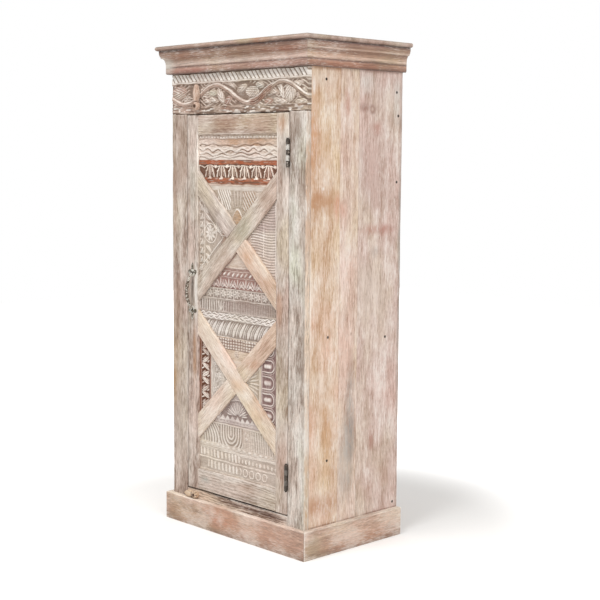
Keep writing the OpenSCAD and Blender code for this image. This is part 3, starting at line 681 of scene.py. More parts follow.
def grainLine(grain):
    if grain in ("x", "y", "z"):
        return Vector([float(axis == grain) for axis in "xyz"])
    return Vector((math.cos(math.radians(grain)), 0, math.sin(math.radians(grain)))).normalized()


copyShape = {
    "ring": 24,  # mm between two rings along the grain
    "worn": 2.2,  # how soon a convex edge counts as fully exposed
    "waveRun": 0.09, "chipRun": 0.03,  # m
}


def wornCopy(node, look, ring=copyShape["ring"], wear=1.0, bevelWidth=0.0):
    piece = bpy.data.objects.new(node + "_worn", frame["nodes"][node].data.copy())
    bpy.context.scene.collection.objects.link(piece)
    activate(piece)
    bpy.ops.mesh.customdata_custom_splitnormals_clear()
    with editing(piece):
        bpy.ops.mesh.remove_doubles(threshold=0.02 * mm)
        bpy.ops.mesh.dissolve_limited(angle_limit=math.radians(0.5))
    if bevelWidth:
        applyModifier(piece, "BEVEL", width=bevelWidth * mm, segments=2, limit_method="ANGLE")
    direction = grainLine(look["grain"])
    run = points(piece) @ np.array(direction)
    for place in np.arange(run.min() + ring * mm, run.max() - 0.4 * ring * mm, ring * mm):
        bisect(piece, direction * place, direction)
    exposed, normals = convexity(piece)
    exposed = np.clip(exposed * copyShape["worn"], 0, 1)
    mark(piece, "edge", exposed)
    spots = points(piece)
    run = spots @ np.array(direction)
    across = spots @ np.array((0.61, 0.53, 0.59))  # so that two edges side by side wear in two ways
    dent = 0.5 * random1d(run + 3 * across, copyShape["waveRun"], look["seed"])
    dent += 0.5 * random1d(run - 2 * across, copyShape["chipRun"], look["seed"] + 1) ** 3
    spots -= normals * (exposed * dent * wear * mm)[:, None]
    setPoints(piece, spots)
    return piece


# height over the floor in mm and colour, from the foot of each profile to its head; on the cornice and top
# board the dark lines are painted shade with dirt in the quirks, and the pale ones are painted highlight with
# wear on the rounds
quirkShadeAndDirt = (
    (1650, "#6b4a3c"), (1654, "#946d5c"), (1661, "#b88c7b"), (1668, "#cda493"), (1672, "#a58272"),
    (1675, "#7c5846"), (1678, "#dcc3b4"), (1684, "#f8e6da"), (1690, "#ddc1b0"), (1697, "#c6a48e"),
    (1703, "#a3795f"), (1709, "#a0765c"), (1714, "#c09880"), (1717, "#a0765f"), (1722, "#a9836c"),
    (1727, "#997060"), (1731, "#5d3b2d"), (1734, "#4f3126"),
)
sideQuirkShadeAndDirt = (
    (1650, "#5f3d2f"), (1654, "#865a45"), (1661, "#aa7a63"), (1668, "#cb9a82"), (1672, "#a07a66"),
    (1675, "#785341"), (1678, "#d2b49f"), (1684, "#f0d2bd"), (1690, "#d0ab92"), (1697, "#b48e76"),
    (1702, "#8d6750"), (1706, "#957059"), (1711, "#ecd2c0"), (1714, "#a9836c"), (1722, "#a9836c"),
    (1727, "#997060"), (1731, "#5d3b2d"), (1734, "#4f3126"),
)
lipShadeAndDirt = (
    (1734, "#6a493b"), (1737, "#a07e6c"), (1741, "#c2a799"), (1744, "#cbb1a2"), (1747, "#a08b7d"),
    (1750, "#aa9a8d"),
)
# the plinth: darker towards the foot, pale along its top edge
plinthLevels = (
    (0, "#b39886"), (15, "#bf9d86"), (40, "#d2ad95"), (70, "#dcbba4"), (94, "#dab8a2"), (99, "#f8e8d8"),
)
# grain alone: the levels colour it
oldWash = dict(dark="#aea59f", mid="#ded8d3", light="#fdfaf8", contrast=0.95)
plinthWash = dict(oldWash, levels=plinthLevels, limed=0.4, band=20)
corniceWash = dict(oldWash, band=7, streak=2.4, tick=60, edgeLime=0.35)
trims = {
    "plinth_front": dict(
        plinthWash, grain="x", seed=41, face=("y", -230, 40), patches=(
            ("#c07a62", -60, 60, 90, 40, 0.6), ("#bd8d73", 190, 50, 130, 36, 0.35),
            ("#b3906f", -270, 26, 70, 26, 0.4), ("#9a7f6e", 60, 3, 380, 8, 0.6))),
    "plinth_right": dict(
        plinthWash, grain="y", seed=42, face=("x", 375, 40), patches=(
            ("#a4977e", -190, 50, 36, 36, 0.6), ("#b58060", 60, 22, 150, 20, 0.6),
            ("#f6eee3", -230, 52, 6, 80, 0.95))),
    "plinth_left": dict(plinthWash, grain="y", seed=43),
    "cornice_front": dict(
        corniceWash, grain="x", levels=quirkShadeAndDirt, seed=44, limed=0.5, patches=(
            ("#a0675a", (-230, -216, 1659), (110, 60, 9), 0.5),
            ("#d3cec4", (-366, -225, 1684), (46, 60, 34), 0.95),
            ("#a3664f", (280, -240, 1708), (110, 60, 9), 0.6),
            ("#9c6f58", (-280, -240, 1712), (90, 60, 12), 0.5))),
    "cornice_right": dict(
        corniceWash, grain="y", levels=sideQuirkShadeAndDirt, seed=45, limed=0.45, patches=(
            ("#b07a60", (360, -60, 1660), (60, 160, 9), 0.6),
            ("#a5826b", (385, 40, 1705), (60, 170, 14), 0.4))),
    "cornice_left": dict(corniceWash, grain="y", levels=sideQuirkShadeAndDirt, seed=46, limed=0.45),
    "top_board": dict(
        oldWash, grain="x", levels=lipShadeAndDirt, seed=47, limed=0.3, band=24, edgeLime=0.3, face=("y", -255, 40),
        patches=(
            ("#b07a56", 170, 1742, 46, 12, 0.6), ("#b5a57e", 90, 1744, 50, 12, 0.6),
            ("#a5826f", -140, 1742, 110, 12, 0.3))),
}
for node, look in trims.items():
    slotName = "limed_plinth" if node.startswith("plinth") else "limed_cornice"
    dress(wornCopy(node, look, wear=1.6), node, "carcass", slotName, look)
print("plinth and cornice ready")


# Braces: narrow bars of the same old door wood, their arrises rubbed white

def armLines():
    found = []
    for node in ("brace_upper_long", "brace_lower_long"):
        spots = points(frame["nodes"][node])
        left, right = spots[:, 0].min(), spots[:, 0].max()
        ends = []
        for place in (left, right):
            tall = spots[np.abs(spots[:, 0] - place) < 0.01 * mm, 2]
            ends.append((tall.max() + tall.min()) / 2)
        half = (tall.max() - tall.min()) / 2
        slope = (ends[1] - ends[0]) / (right - left)
        for sign in (1, -1):
            found.append(((ends[0] + ends[1]) / 2, sign * slope, half))
    return found


arms = armLines()  # (height at the middle in m, slope, half height in m) of the four arms
upperSlope, lowerSlope = (math.degrees(math.atan(abs(arms[k][1]))) for k in (0, 2))
braces = {
    "brace_upper_long": dict(
        grain=upperSlope, dark="#9d8a7a", mid="#c6b7a8", light="#e2d6ca", seed=51, limed=0.6, contrast=1.15,
        patches=(
            ("#99a08f", 40, 1110, 50, 50, 0.35), ("#a98a75", -60, 1000, 50, 40, 0.45),
            ("#a88a76", 150, 1220, 40, 40, 0.4))),
    "brace_upper_left": dict(
        grain=-upperSlope, dark="#a5948a", mid="#cabbb0", light="#e6dbd2", seed=52, limed=0.65,
        contrast=1.15),
    "brace_upper_right": dict(
        grain=-upperSlope, dark="#b5967d", mid="#d6bea8", light="#ead9c8", seed=53, limed=0.55, contrast=1.1,
        patches=(("#d09d72", 70, 1000, 40, 40, 0.5), ("#b5805f", 150, 925, 34, 26, 0.5))),
    "brace_lower_long": dict(
        grain=-lowerSlope, dark="#bda289", mid="#dfccba", light="#f2e7db", seed=54, limed=0.55, contrast=1.1,
        tinted=0.3, patches=(
            ("#d2a177", 20, 560, 46, 34, 0.5), ("#d6ac86", 110, 470, 50, 40, 0.4),
            ("#f0e4d6", -150, 720, 60, 60, 0.5))),
    "brace_lower_left": dict(
        grain=lowerSlope, dark="#b9a08d", mid="#d9c7b6", light="#eee1d4", seed=55, limed=0.55, contrast=1.1),
    "brace_lower_right": dict(
        grain=lowerSlope, dark="#b1937b", mid="#d4bca7", light="#e9d9c9", seed=56, limed=0.55, contrast=1.1,
        patches=(("#bb8260", 84, 636, 40, 24, 0.5),)),
}
for node, look in braces.items():
    dress(wornCopy(node, look, wear=1.2, bevelWidth=0.5), node, "door", "limed_braces", look)
print("braces ready")


# Carving: old panels of many doors, each cut by hand, then whitewashed so that the lime stays on the ridges

def random2d(x, z, size, seed):
    table = np.random.default_rng(seed).random((97, 97))
    u, v = x / size + 40.3, z / size + 31.7
    a, b = np.floor(u).astype(int), np.floor(v).astype(int)
    s, t = u - a, v - b
    s, t = s * s * (3 - 2 * s), t * t * (3 - 2 * t)
    a, b = a % 96, b % 96
    low = table[a, b] * (1 - s) + table[a + 1, b] * s
    high = table[a, b + 1] * (1 - s) + table[a + 1, b + 1] * s
    return low * (1 - t) + high * t


def step(start, end, values):
    t = np.clip((values - start) / (end - start), 0, 1)
    return t * t * (3 - 2 * t)


def hump(distance, half):
    return np.sqrt(np.clip(1 - (distance / half) ** 2, 0, 1))


def inside(values, start, end, soft=1.5):
    half = soft / 2
    return step(start - half, start + half, values) * (1 - step(end - half, end + half, values))


def swell(places, pitch=1):  # 1 on every crest and 0 between them
    return 0.5 + 0.5 * np.cos(2 * np.pi * places / pitch)


def rays(x, z, centre, inner, outer, angles, half):
    reach = np.hypot(x - centre[0], z - centre[1])
    angle = np.degrees(np.arctan2(x - centre[0], z - centre[1]))  # 0 is straight up
    t = np.clip((reach - inner) / (outer - inner), 0, 1)
    width = half * np.sin(np.pi * t) ** 0.5 + 0.01
    shape = np.zeros_like(x)
    for a in angles:
        away = np.abs((angle - a + 180) % 360 - 180)
        shape = np.maximum(shape, hump(np.radians(np.minimum(away, 60)) * reach, width) * (away < 60))
    return shape


def ring(x, z, centre, radius, half):
    return hump(np.hypot(x - centre[0], z - centre[1]) - radius, half)


def rosette(x, z, centre, radius, petals, turn=0):
    angles = [turn + 360 * k / petals for k in range(petals)]
    leaves = rays(x, z, centre, 0.22 * radius, 0.95 * radius, angles, 1.1 * radius / petals + 0.09 * radius)
    return np.maximum(leaves, hump(np.hypot(x - centre[0], z - centre[1]), 0.22 * radius))


def bar(x, z, start, end, half):
    run = np.array(end, float) - np.array(start, float)
    t = np.clip(((x - start[0]) * run[0] + (z - start[1]) * run[1]) / (run @ run), 0, 1)
    return hump(np.hypot(x - start[0] - t * run[0], z - start[1] - t * run[1]), half)


def leaf(x, z, start, end, half, curl=0.0):
    run = np.array(end, float) - np.array(start, float)
    length = np.hypot(*run)
    t = ((x - start[0]) * run[0] + (z - start[1]) * run[1]) / length ** 2
    bulge = np.sin(np.pi * np.clip(t, 0, 1))
    side = ((x - start[0]) * run[1] - (z - start[1]) * run[0]) / length - curl * bulge
    width = half * bulge ** 0.7 + 0.01
    blade = hump(side, width) * (t > 0) * (t < 1)
    return blade * (1 - 0.55 * hump(side, 1.2))  # a cut down its middle


def cyclic(values, first, pitch):
    return (values - first + pitch / 2) % pitch - pitch / 2


class Carving:  # heights in mm over the plain face, and how white, stained and hollow each point is; the hollows get dark ground with painted shade
    def __init__(self, x):
        self.height, self.rise, self.ridge, self.stain, self.hollow = (np.zeros_like(x) for _ in range(5))

    def whiten(self, mask):
        self.ridge = np.maximum(self.ridge, mask)

    def darken(self, mask):
        self.hollow = np.maximum(self.hollow, mask)

    # a cut sinks and is darkened: dark ground with painted shade in it
    def sink(self, mask, depth, shade=0.5):
        self.height -= mask * depth
        self.darken(mask * shade)

    def lift(self, shape, by, white=0.0):
        self.height += shape * by
        self.rise = np.maximum(self.rise, shape * by)
        self.whiten(shape ** 2 * white)

    def tint(self, mask, strength):
        self.stain = np.maximum(self.stain, mask * strength)


# Each pattern is drawn in mm from the lower left corner of its board's box, width by height

def carveWaves(c, x, z, width, height):
    beads = hump(np.hypot(cyclic(x, 8, 16) / 6.2, (z - height + 9) / 4.6), 1)
    c.lift(beads, 2.6, 1.0)
    c.sink(inside(z, height - 18, height - 15), 1.2, 0.4)
    c.lift(inside(z, height - 35, height - 18, 3), 1.2, 0.1)
    c.tint(inside(z, height - 40, height - 16, 6) * inside(x, 110, 400, 90), 0.8)
    for k, (place, length, sway) in enumerate(((50, 71, 3.2), (31, 58, 5.2), (19, 83, 4.5), (8, 97, 3.0))):
        path = place + sway * np.sin(2 * np.pi * x / length + 2.1 * k + 0.9 * np.sin(x / 57))
        path = path + 3 * np.sin(x / 41 + k)
        cut = hump(z - path, 2.4) * (0.45 + 0.75 * random2d(x / 3, z, 12, 40 + k))
        c.sink(cut, 2.4, 0.95)
        c.lift(hump(z - path - 5.5, 4), 1.2, 0.55 if k else 0.25)
    c.whiten(0.45 * (1 - step(2, 26, z)))


def carveLotus(c, x, z, width, height):
    top, foot = height - 17, 27
    bands = inside(z, top, height + 9, 2) + inside(z, 9, foot, 2)
    c.height += 1.6 * bands
    c.tint(bands, 0.75 + 0.25 * random2d(x / 9, z, 3.6, 9))
    c.whiten(bands * step(0.72, 0.92, random2d(x / 8, z, 3.2, 19)) * 0.5)
    c.darken(bands * step(0.5, 0.8, random2d(x / 12, z, 3.0, 29)) * 0.85)
    c.darken(hump(z - top - 1, 2) * 0.9)
    c.whiten((1 - step(5, 8, z)) * 0.5)
    field = inside(z, foot + 2, top, 1)
    c.sink(field, 2.0, 0.95)
    for centre in np.arange(61, width, 62.4) - 3:
        c.lift(bar(x, z, (centre, foot), (centre, top - 7), 3.6) * field, 3.8, 1.0)
        for side in (-1, 1):  # its petals hang down on both sides
            root, bend = (centre + 10 * side, top - 6), (centre + 18 * side, top - 22)
            tip = (centre + 23 * side, foot + 5)
            c.lift(bar(x, z, root, bend, 3.4) * field, 3.8, 1.0)
            c.lift(bar(x, z, bend, tip, 3.2) * field, 3.6, 0.95)
            root, tip = (centre + 6 * side, top - 12), (centre + 11 * side, foot + 9)
            c.lift(bar(x, z, root, tip, 2.2) * field, 2.6, 0.4)
        drop = step(0, 3, (z - top + 14) * 0.75 - np.abs(x - centre - 31.2)) * field
        c.lift(drop, 2.6, 0.9)
        tent = step(0, 3, (foot + 11 - z) * 0.95 - np.abs(x - centre)) * inside(z, foot - 3, foot + 13)
        c.lift(tent, 2.2, 1.0)
    scallop = top - 11 + 9 * np.abs(np.cos(np.pi * (x - 58) / 62.4)) ** 0.7
    c.lift(hump(z - scallop, 2.6) * field, 2.6, 0.9)
    c.tint(inside(x, width - 90, width, 50) * field, 0.6)


def carveFan(c, x, z, width, height):
    x = x - width / 2
    reach, angle = np.hypot(x, z + 8), np.degrees(np.arctan2(x, z + 8))
    c.whiten(inside(z, height - 13, height + 5, 3) * 0.45)
    belt = inside(reach, 74, 128, 6) * inside(z, 40, height - 14, 3)
    flutes = 0.5 + 0.5 * np.cos(np.radians(angle * 360 / 8.5))
    middle = belt * inside(x, -30, 26, 8)
    c.sink(middle * (1 - flutes), 1.6, 0.45)
    c.lift(middle * flutes, 1.0, 0.3)
    beside = inside(x, -106, -34, 6) * inside(z, 52, height - 12, 5)  # strokes cut along the left brace
    c.sink(beside, 1.4, 0.35)
    c.lift(hump(cyclic(x + 0.5 * z, 6, 12.5), 4.0) * beside, 3.4, 1.0)
    beside = inside(x, 28, 92, 6) * inside(z, 50, height - 16, 5)  # and others against the right one
    strokes = hump(cyclic(x + 0.62 * z, 3, 13.5), 4.2) * beside
    c.sink(beside, 1.4, 0.4)
    c.tint(inside(x, 28, 92, 12) * inside(z, 50, height - 16, 5) * (strokes < 0.3), 0.75)
    c.lift(strokes, 2.6, 0.6)
    fine = swell(x * 0.5 + z, 7)
    c.sink(inside(reach, 52, 72, 3) * (1 - fine), 1.0, 0.3)
    cap = inside(z, 0, 56 - x ** 2 / 22, 4) * (np.abs(x) < 36)
    c.height -= c.height * cap
    c.lift(cap, 1.8)
    c.ridge *= 1 - cap
    c.stain = np.where(cap > 0.5, 0, c.stain)
    c.tint(cap, 0.75)
    c.lift(hump(z - 58 + x ** 2 / 22, 3.4) * (np.abs(x) < 36), 1.5, 0.9)


def carveFlower(c, x, z, width, height):
    v = z - height / 2
    c.sink(inside(x, 3, 126, 3), 1.4, 0.45)
    near = cyclic(v, 12, 31)
    c.lift(leaf(x, near, (3, -14), (19, 11), 5, 3), 3.8, 1.0)
    c.lift(leaf(x, near, (14, -13), (26, 1), 3.2, 2), 2.8, 0.8)
    c.lift(hump(np.hypot(x - 7, near - 8), 3.4), 2.5, 0.7)
    c.lift(hump(x - 29, 2.6), 2.4, 0.6)
    c.lift(rosette(x, z, (62, height / 2 + 12), 30, 9), 3.4, 0.75)
    c.lift(ring(x, z, (62, height / 2 + 12), 34, 2.6), 2.4, 0.6)
    c.lift(rays(x, z, (104, height / 2 + 10), 8, 44, range(-80, 100, 22), 3.4) * (x > 84), 3.0, 0.7)
    for k, rise in enumerate((58, 84, 108)):
        c.lift(leaf(x, z, (34, height / 2 + rise), (70 - 8 * k, height / 2 + rise - 26), 7, 3), 3.0, 0.7)
        c.lift(leaf(x, z, (34, height / 2 - rise + 24), (66 - 8 * k, height / 2 - rise), 7, -3), 3.0, 0.7)
    c.lift(hump((np.abs(v) - 118 + 0.9 * x) * 0.74, 2.4), 2.4, 0.8)
    c.tint(step(112, 130, x), 0.9)
    c.tint(inside(x, 32, 70, 8) * inside(v, 50, 130, 12), 0.4)


def carveLadder(c, x, z, width, height):
    u, v = width - x, z - height / 2
    field = inside(u, 14, 138, 3)
    bend = v + 4 * np.sin(u / 26)
    flutes = swell(bend, 9.4)
    c.sink(field * (1 - flutes), 2.6, 0.75)
    strong = inside(v, -16, 26, 8)
    uneven = step(0.25, 0.8, random2d(x / 3, z, 19, 17))
    c.whiten(field * flutes ** 3 * (0.2 + 0.45 * uneven + 0.45 * strong))
    c.lift(hump(u - 9, 3.2), 2.4, 0.8)
    c.lift(hump(u - 74, 3) * field * (np.abs(v) < 60), 2.0, 0.5)
    c.tint(step(20, 44, v) * field, 0.75)
    c.tint(inside(u, 100, 150, 20), 0.4)


def carveZigzag(c, x, z, width, height):
    x = x - width / 2
    c.lift(hump(z - 76, 2.4), 2.0, 0.5)
    c.tint(inside(z, -5, 73, 3), 0.8)
    c.sink(inside(z, 2, 72, 2), 1.2, 0.5)
    turns = cyclic(x - 0.75 * (z - 52), 0, 23)
    c.lift(hump(np.hypot(turns / 6.4, (z - 51) / 9), 1), 3.6, 0.95)
    c.lift(hump(z - 63, 2) + hump(z - 39, 1.8), 1.4, 0.35)
    for k in range(-4, 5):
        c.lift(rays(x, z, (k * 46, -2), 8, 38, (-58, -29, 0, 29, 58), 3.6), 3.2, 0.8)
        c.lift(leaf(x, z, (k * 46 + 14, 4), (k * 46 + 31, 34), 4.5), 2.6, 0.7)
    fine = swell(z, 6.5)
    c.sink(inside(z, 80, height, 3) * (1 - fine), 0.5, 0.12)


def carveRosettes(c, x, z, width, height):
    row = inside(z, 50, height - 2, 2)
    c.sink(row, 1.6, 0.6)
    near = cyclic(x, 22, 37)
    shape = rosette(near, z, (0, 68), 16, 7, 12)
    c.lift(shape * row, 3.2, 0.7)
    c.lift(hump(np.abs(near) - 17, 1.8) * row, 1.8, 0.4)
    c.lift(hump(z - 49, 2) + hump(z - height + 3, 2), 1.8, 0.6)
    run = np.where(x < 186, (x - 186) / 13.2, (x - 186) / 8.6)  # close flutes right of the wide ones
    flutes = swell(run)
    ends = inside(z, 4, 42 + 3 * flutes, 3)
    c.sink(ends * (1 - flutes), 2.8, 0.75)
    c.whiten(ends * flutes ** 4 * (0.25 + 0.75 * step(200, 20, x)))
    for lean in (-0.5, 0, 0.5):  # a tulip between the wide flutes
        c.lift(hump(x - 119 - lean * (z - 4), 3.4) * inside(z, 5, 40, 4), 2.6, 0.5)
    c.tint(inside(x, 130, 180, 20) * ends, 0.5)
    c.tint(inside(x, 200, 400, 60) * inside(z, 4, 44), 0.35)


def carveLeaves(c, x, z, width, height):
    strands = z - height + 13 + 2.2 * np.sin(2 * np.pi * x / 29)
    for k, place in enumerate((-8, 0, 8)):
        wave = 1.8 * np.sin(2 * np.pi * x / 34 + 2.1 * k)
        c.sink(hump(strands - place - wave - 4, 2), 2.0, 0.7)
        c.lift(hump(strands - place - wave, 3), 1.6, 0.75)
    field = inside(z, 1, height - 27, 2)
    c.sink(field, 2.0, 0.85)
    for left in np.arange(-10, width + 40, 39):
        t = np.clip((z - 3) / (height - 32), 0, 1)
        for shift, half in ((0, 8.5), (15, 4.2), (24, 2.6)):
            path = left + shift + 28 * t ** 1.8
            bladeHalf = half * np.sin(np.pi * t) ** 0.6 + 0.01
            blade = hump(x - path, bladeHalf) * field * (t > 0) * (t < 1)
            c.lift(blade * (1 - 0.5 * hump(x - path, 1.4)), 3.6 if shift == 0 else 2.4, 0.85)


def carveChecker(c, x, z, width, height):
    u, w = cyclic(x - width / 2, 7, 14), cyclic(z - 61, 5.5, 10)
    rows = inside(z, 60, 100, 1)
    blocks = inside(u, -4.6, 4.6, 1.6) * inside(w, -3.2, 3.2, 1.6)
    c.sink(rows * (1 - blocks), 2.4, 0.7)
    c.tint(rows, 0.5)
    c.whiten(rows * blocks * 0.75)
    c.lift(rosette(x, z, (width / 2, 47), 11, 6), 2.6, 0.5)
    c.tint(hump(np.hypot(x - width / 2, z - 47), 13), 0.5)
    c.lift(ring(x, z, (width / 2, 47), 13, 2), 1.6, 0.5)


def carveChevron(c, x, z, width, height):
    field = inside(x, 10, width - 6, 1.5)
    c.tint(np.ones_like(x), 0.85)
    c.sink(field, 2.2, 0.85)
    c.lift(hump(x - 9, 2.4), 1.5, 0.2)
    c.lift(hump(x - width + 4.5, 2.6), 1.6, 0.35)
    for k in range(-3, 4):
        at = 53 * k - 8 + height / 2
        c.lift(leaf(x, z, (13, at), (width - 11, at + 24), 8.5, 2), 4.2, 1.0)
        c.lift(leaf(x, z, (width - 11, at + 27), (13, at + 50), 8.5, 2), 4.2, 1.0)
        c.lift(leaf(x, z, (13, at + 10), (34, at + 25), 4, 1), 3.2, 0.9)
        c.lift(leaf(x, z, (width - 11, at + 38), (36, at + 47), 4, 1), 3.2, 0.9)
        c.lift(bar(x, z, (14, at + 30), (24, at + 34), 3), 3.0, 0.9)
        c.lift(bar(x, z, (width - 13, at + 9), (width - 20, at + 3), 3), 3.0, 0.9)


def carveSprigs(c, x, z, width, height):
    v = z - height / 2
    c.sink(inside(x, 5, width - 4, 3), 1.4, 0.4)
    c.lift(hump(x - 3, 2.4), 1.6, 0.6)
    stem = 22 + 9 * np.sin(v / 22)
    c.lift(hump(x - stem, 2.6), 2.6, 0.75)
    flowers = ((42, 6, 15), (26, 52, 12), (27, -46, 12), (72, -4, 10), (20, 84, 9), (20, -82, 9))
    for k, (u, rise, size) in enumerate(flowers):
        c.lift(rosette(x, z, (u, height / 2 + rise), size, 6, 20 * k), 3.2, 0.8)
        c.lift(ring(x, z, (u, height / 2 + rise), size + 3, 1.8), 1.8, 0.5)
    for k in range(-4, 5):
        at = height / 2 + 22 * k
        c.lift(leaf(x, z, (stem.mean(), at), (44, at + 15), 4.5, 2), 2.8, 0.7)
        c.lift(leaf(x, z, (54, at * 0.5 + height / 4), (78, at * 0.5 + height / 4 + 8), 4, 1), 2.4, 0.6)


def carveArches(c, x, z, width, height):
    u, v = width - x, z - height / 2
    c.tint(np.ones_like(x), 0.7)
    c.sink(inside(u, 9, width - 4, 2), 2.2, 0.75)
    c.lift(hump(x - 3.5, 2.4), 1.6, 0.5)
    for place in (128, 70, 12, -46, -104):
        reach = np.hypot(np.clip(39 - u, 0, 99), v - place)
        c.lift(hump(reach - 21, 2.8) * (u < width - 6), 3.4, 0.9)
        c.lift(hump(reach - 28, 2.0) * (u < width - 6), 1.8, 0.35)
        tongue = np.hypot(np.clip(38 - u, 0, 99) + np.clip(u - 62, 0, 99), v - place)
        c.lift(hump(tongue, 8.5), 3.6, 1.0)
    c.sink(inside(u, 1, 7, 1.5), 1.2, 0.85)


def carveLined(c, x, z, width, height):
    v = z - height / 2
    c.sink(inside(x, 4, width - 9, 3), 1.2, 0.35)
    c.lift(hump(x - width + 6, 2.6), 2.0, 0.7)
    c.lift(rays(x, z, (-14, height / 2), 26, width + 4, (52, 64, 77, 90, 103, 116, 128), 4.0), 2.8, 0.65)
    c.lift(hump((np.abs(v) - 0.91 * x + 3) * 0.74, 2.2), 1.8, 0.7)


def carvePetals(c, x, z, width, height):
    x = x - width / 2
    reach = np.hypot(x * 0.9, z - 6)
    for radius, half in ((104, 3), (96, 2.4), (88, 3)):
        c.lift(hump(reach - radius, half) * (z > 20), 2.6, 0.55)
    c.tint(np.ones_like(x), 0.6)
    c.sink((reach < 84) * inside(z, 18, height, 2), 2.0, 0.65)
    fan = (reach < 82) * (z > 36)
    c.lift(rays(x, z, (0, 30), 10, 56, range(-80, 100, 20), 4.2) * fan, 3.6, 0.75)
    c.lift(rays(x, z, (0, 30), 30, 58, range(-70, 90, 20), 2.6) * fan, 2.4, 0.6)
    tents = step(0, 3, (34 - z) * 0.9 - np.abs(cyclic(x, 0, 27))) * inside(z, 17, 36)
    c.lift(tents, 2.8, 0.7)
    c.lift(hump(z - 15, 2.2) + hump(z - 6, 2.2), 2.0, 0.55)
    c.lift(bar(cyclic(x, 9, 18), z - 10.5, (-5, 0), (5, 0), 2.2), 1.6, 0.5)


def carveScallops(c, x, z, width, height):
    field = inside(z, 16, height - 6, 3)
    hoops = np.hypot(x - 172, np.clip(56 - z, 0, 99) * 0.9) / 13.5  # nested loops, open at the top
    leaning = (x + (z - 20) ** 2 / 150) / 15
    upright = (x + 0.1 * z) / 12
    phase = np.where(x < 108, leaning, np.where(x < 236, hoops, upright))
    shells = swell(phase)
    strong = inside(x, 20, 236, 20) + 0.55 * inside(x, 296, 440, 20)
    c.sink(field * (1 - shells) * (0.25 + 0.75 * strong), 2.6, 0.75)
    c.whiten(field * shells ** 3 * (0.15 + 0.7 * strong))
    for u, v in ((252, 74), (268, 70), (259, 56)):
        c.lift(rosette(x, z, (u, v), 7, 5), 2.4, 0.9)
    c.lift(hump(np.hypot(cyclic(x, 15, 29) / 10, (z - 9) / 5), 1), 2.4, 0.7)
    c.lift(hump(z - height + 4, 2.2) + hump(z - 2, 1.8), 1.6, 0.5)


def carveTeeth(c, x, z, width, height):
    for place in (height - 4, height - 9):
        c.lift(hump(z - place + 1.5 * np.sin(x / 33), 2), 1.6, 0.6)
    upper, lower = inside(z, 50, 83, 2), inside(z, 5, 43, 2)
    c.sink(np.maximum(upper, lower), 1.4, 0.4)
    near = cyclic(x + 0.1 * (z - 40) + 2.5 * np.sin(x / 37), 12, 19)
    tall = hump(np.hypot(near / 5.6, np.clip(np.abs(z - 67) - 9, 0, 99) / 6), 1)
    short = hump(np.hypot(near / 4.6, np.clip(np.abs(z - 63) - 3, 0, 99) / 5), 1)
    c.lift(np.where(x < 226, tall, short) * (0.55 + 0.6 * random2d(x, z / 4, 24, 33)), 4.0, 1.0)
    below = hump(np.hypot(near / 5.0, np.clip(np.abs(z - 25) - 9, 0, 99) / 6), 1)
    c.lift(below * inside(x, 48, 214, 6), 3.4, 0.8)
    hoop = np.hypot(cyclic(x, 252, 34), np.clip(22 - z, 0, 99) + np.clip(z - 26, 0, 99))
    c.lift(hump(hoop - 11, 2.4) * inside(x, 222, 374, 4), 2.6, 0.6)
    c.lift(hump(z - 47, 2), 1.6, 0.45)


# finish of the boards in each slot
carvedLook = dict(streak=3, tick=16, band=18, pores=0.25, tinted=0.25, torn=0.74)
carvedWoods = {
    "carved_grey": dict(carvedLook, dark="#a39384", mid="#c3b5a8", light="#ddd0c5", lime="#efe8e0",
                        hollow="#8d7a6c", limed=0.35),
    "carved_mauve": dict(carvedLook, dark="#9d8880", mid="#bda99f", light="#d9c9bf", lime="#eee6df",
                         stain="#a2807c", hollow="#7f665f", limed=0.3),
    "carved_red": dict(carvedLook, dark="#76543f", mid="#96705b", light="#b38d75", lime="#f6e9dc",
                       stain="#a04f31", hollow="#5e4133", limed=0.15),
}
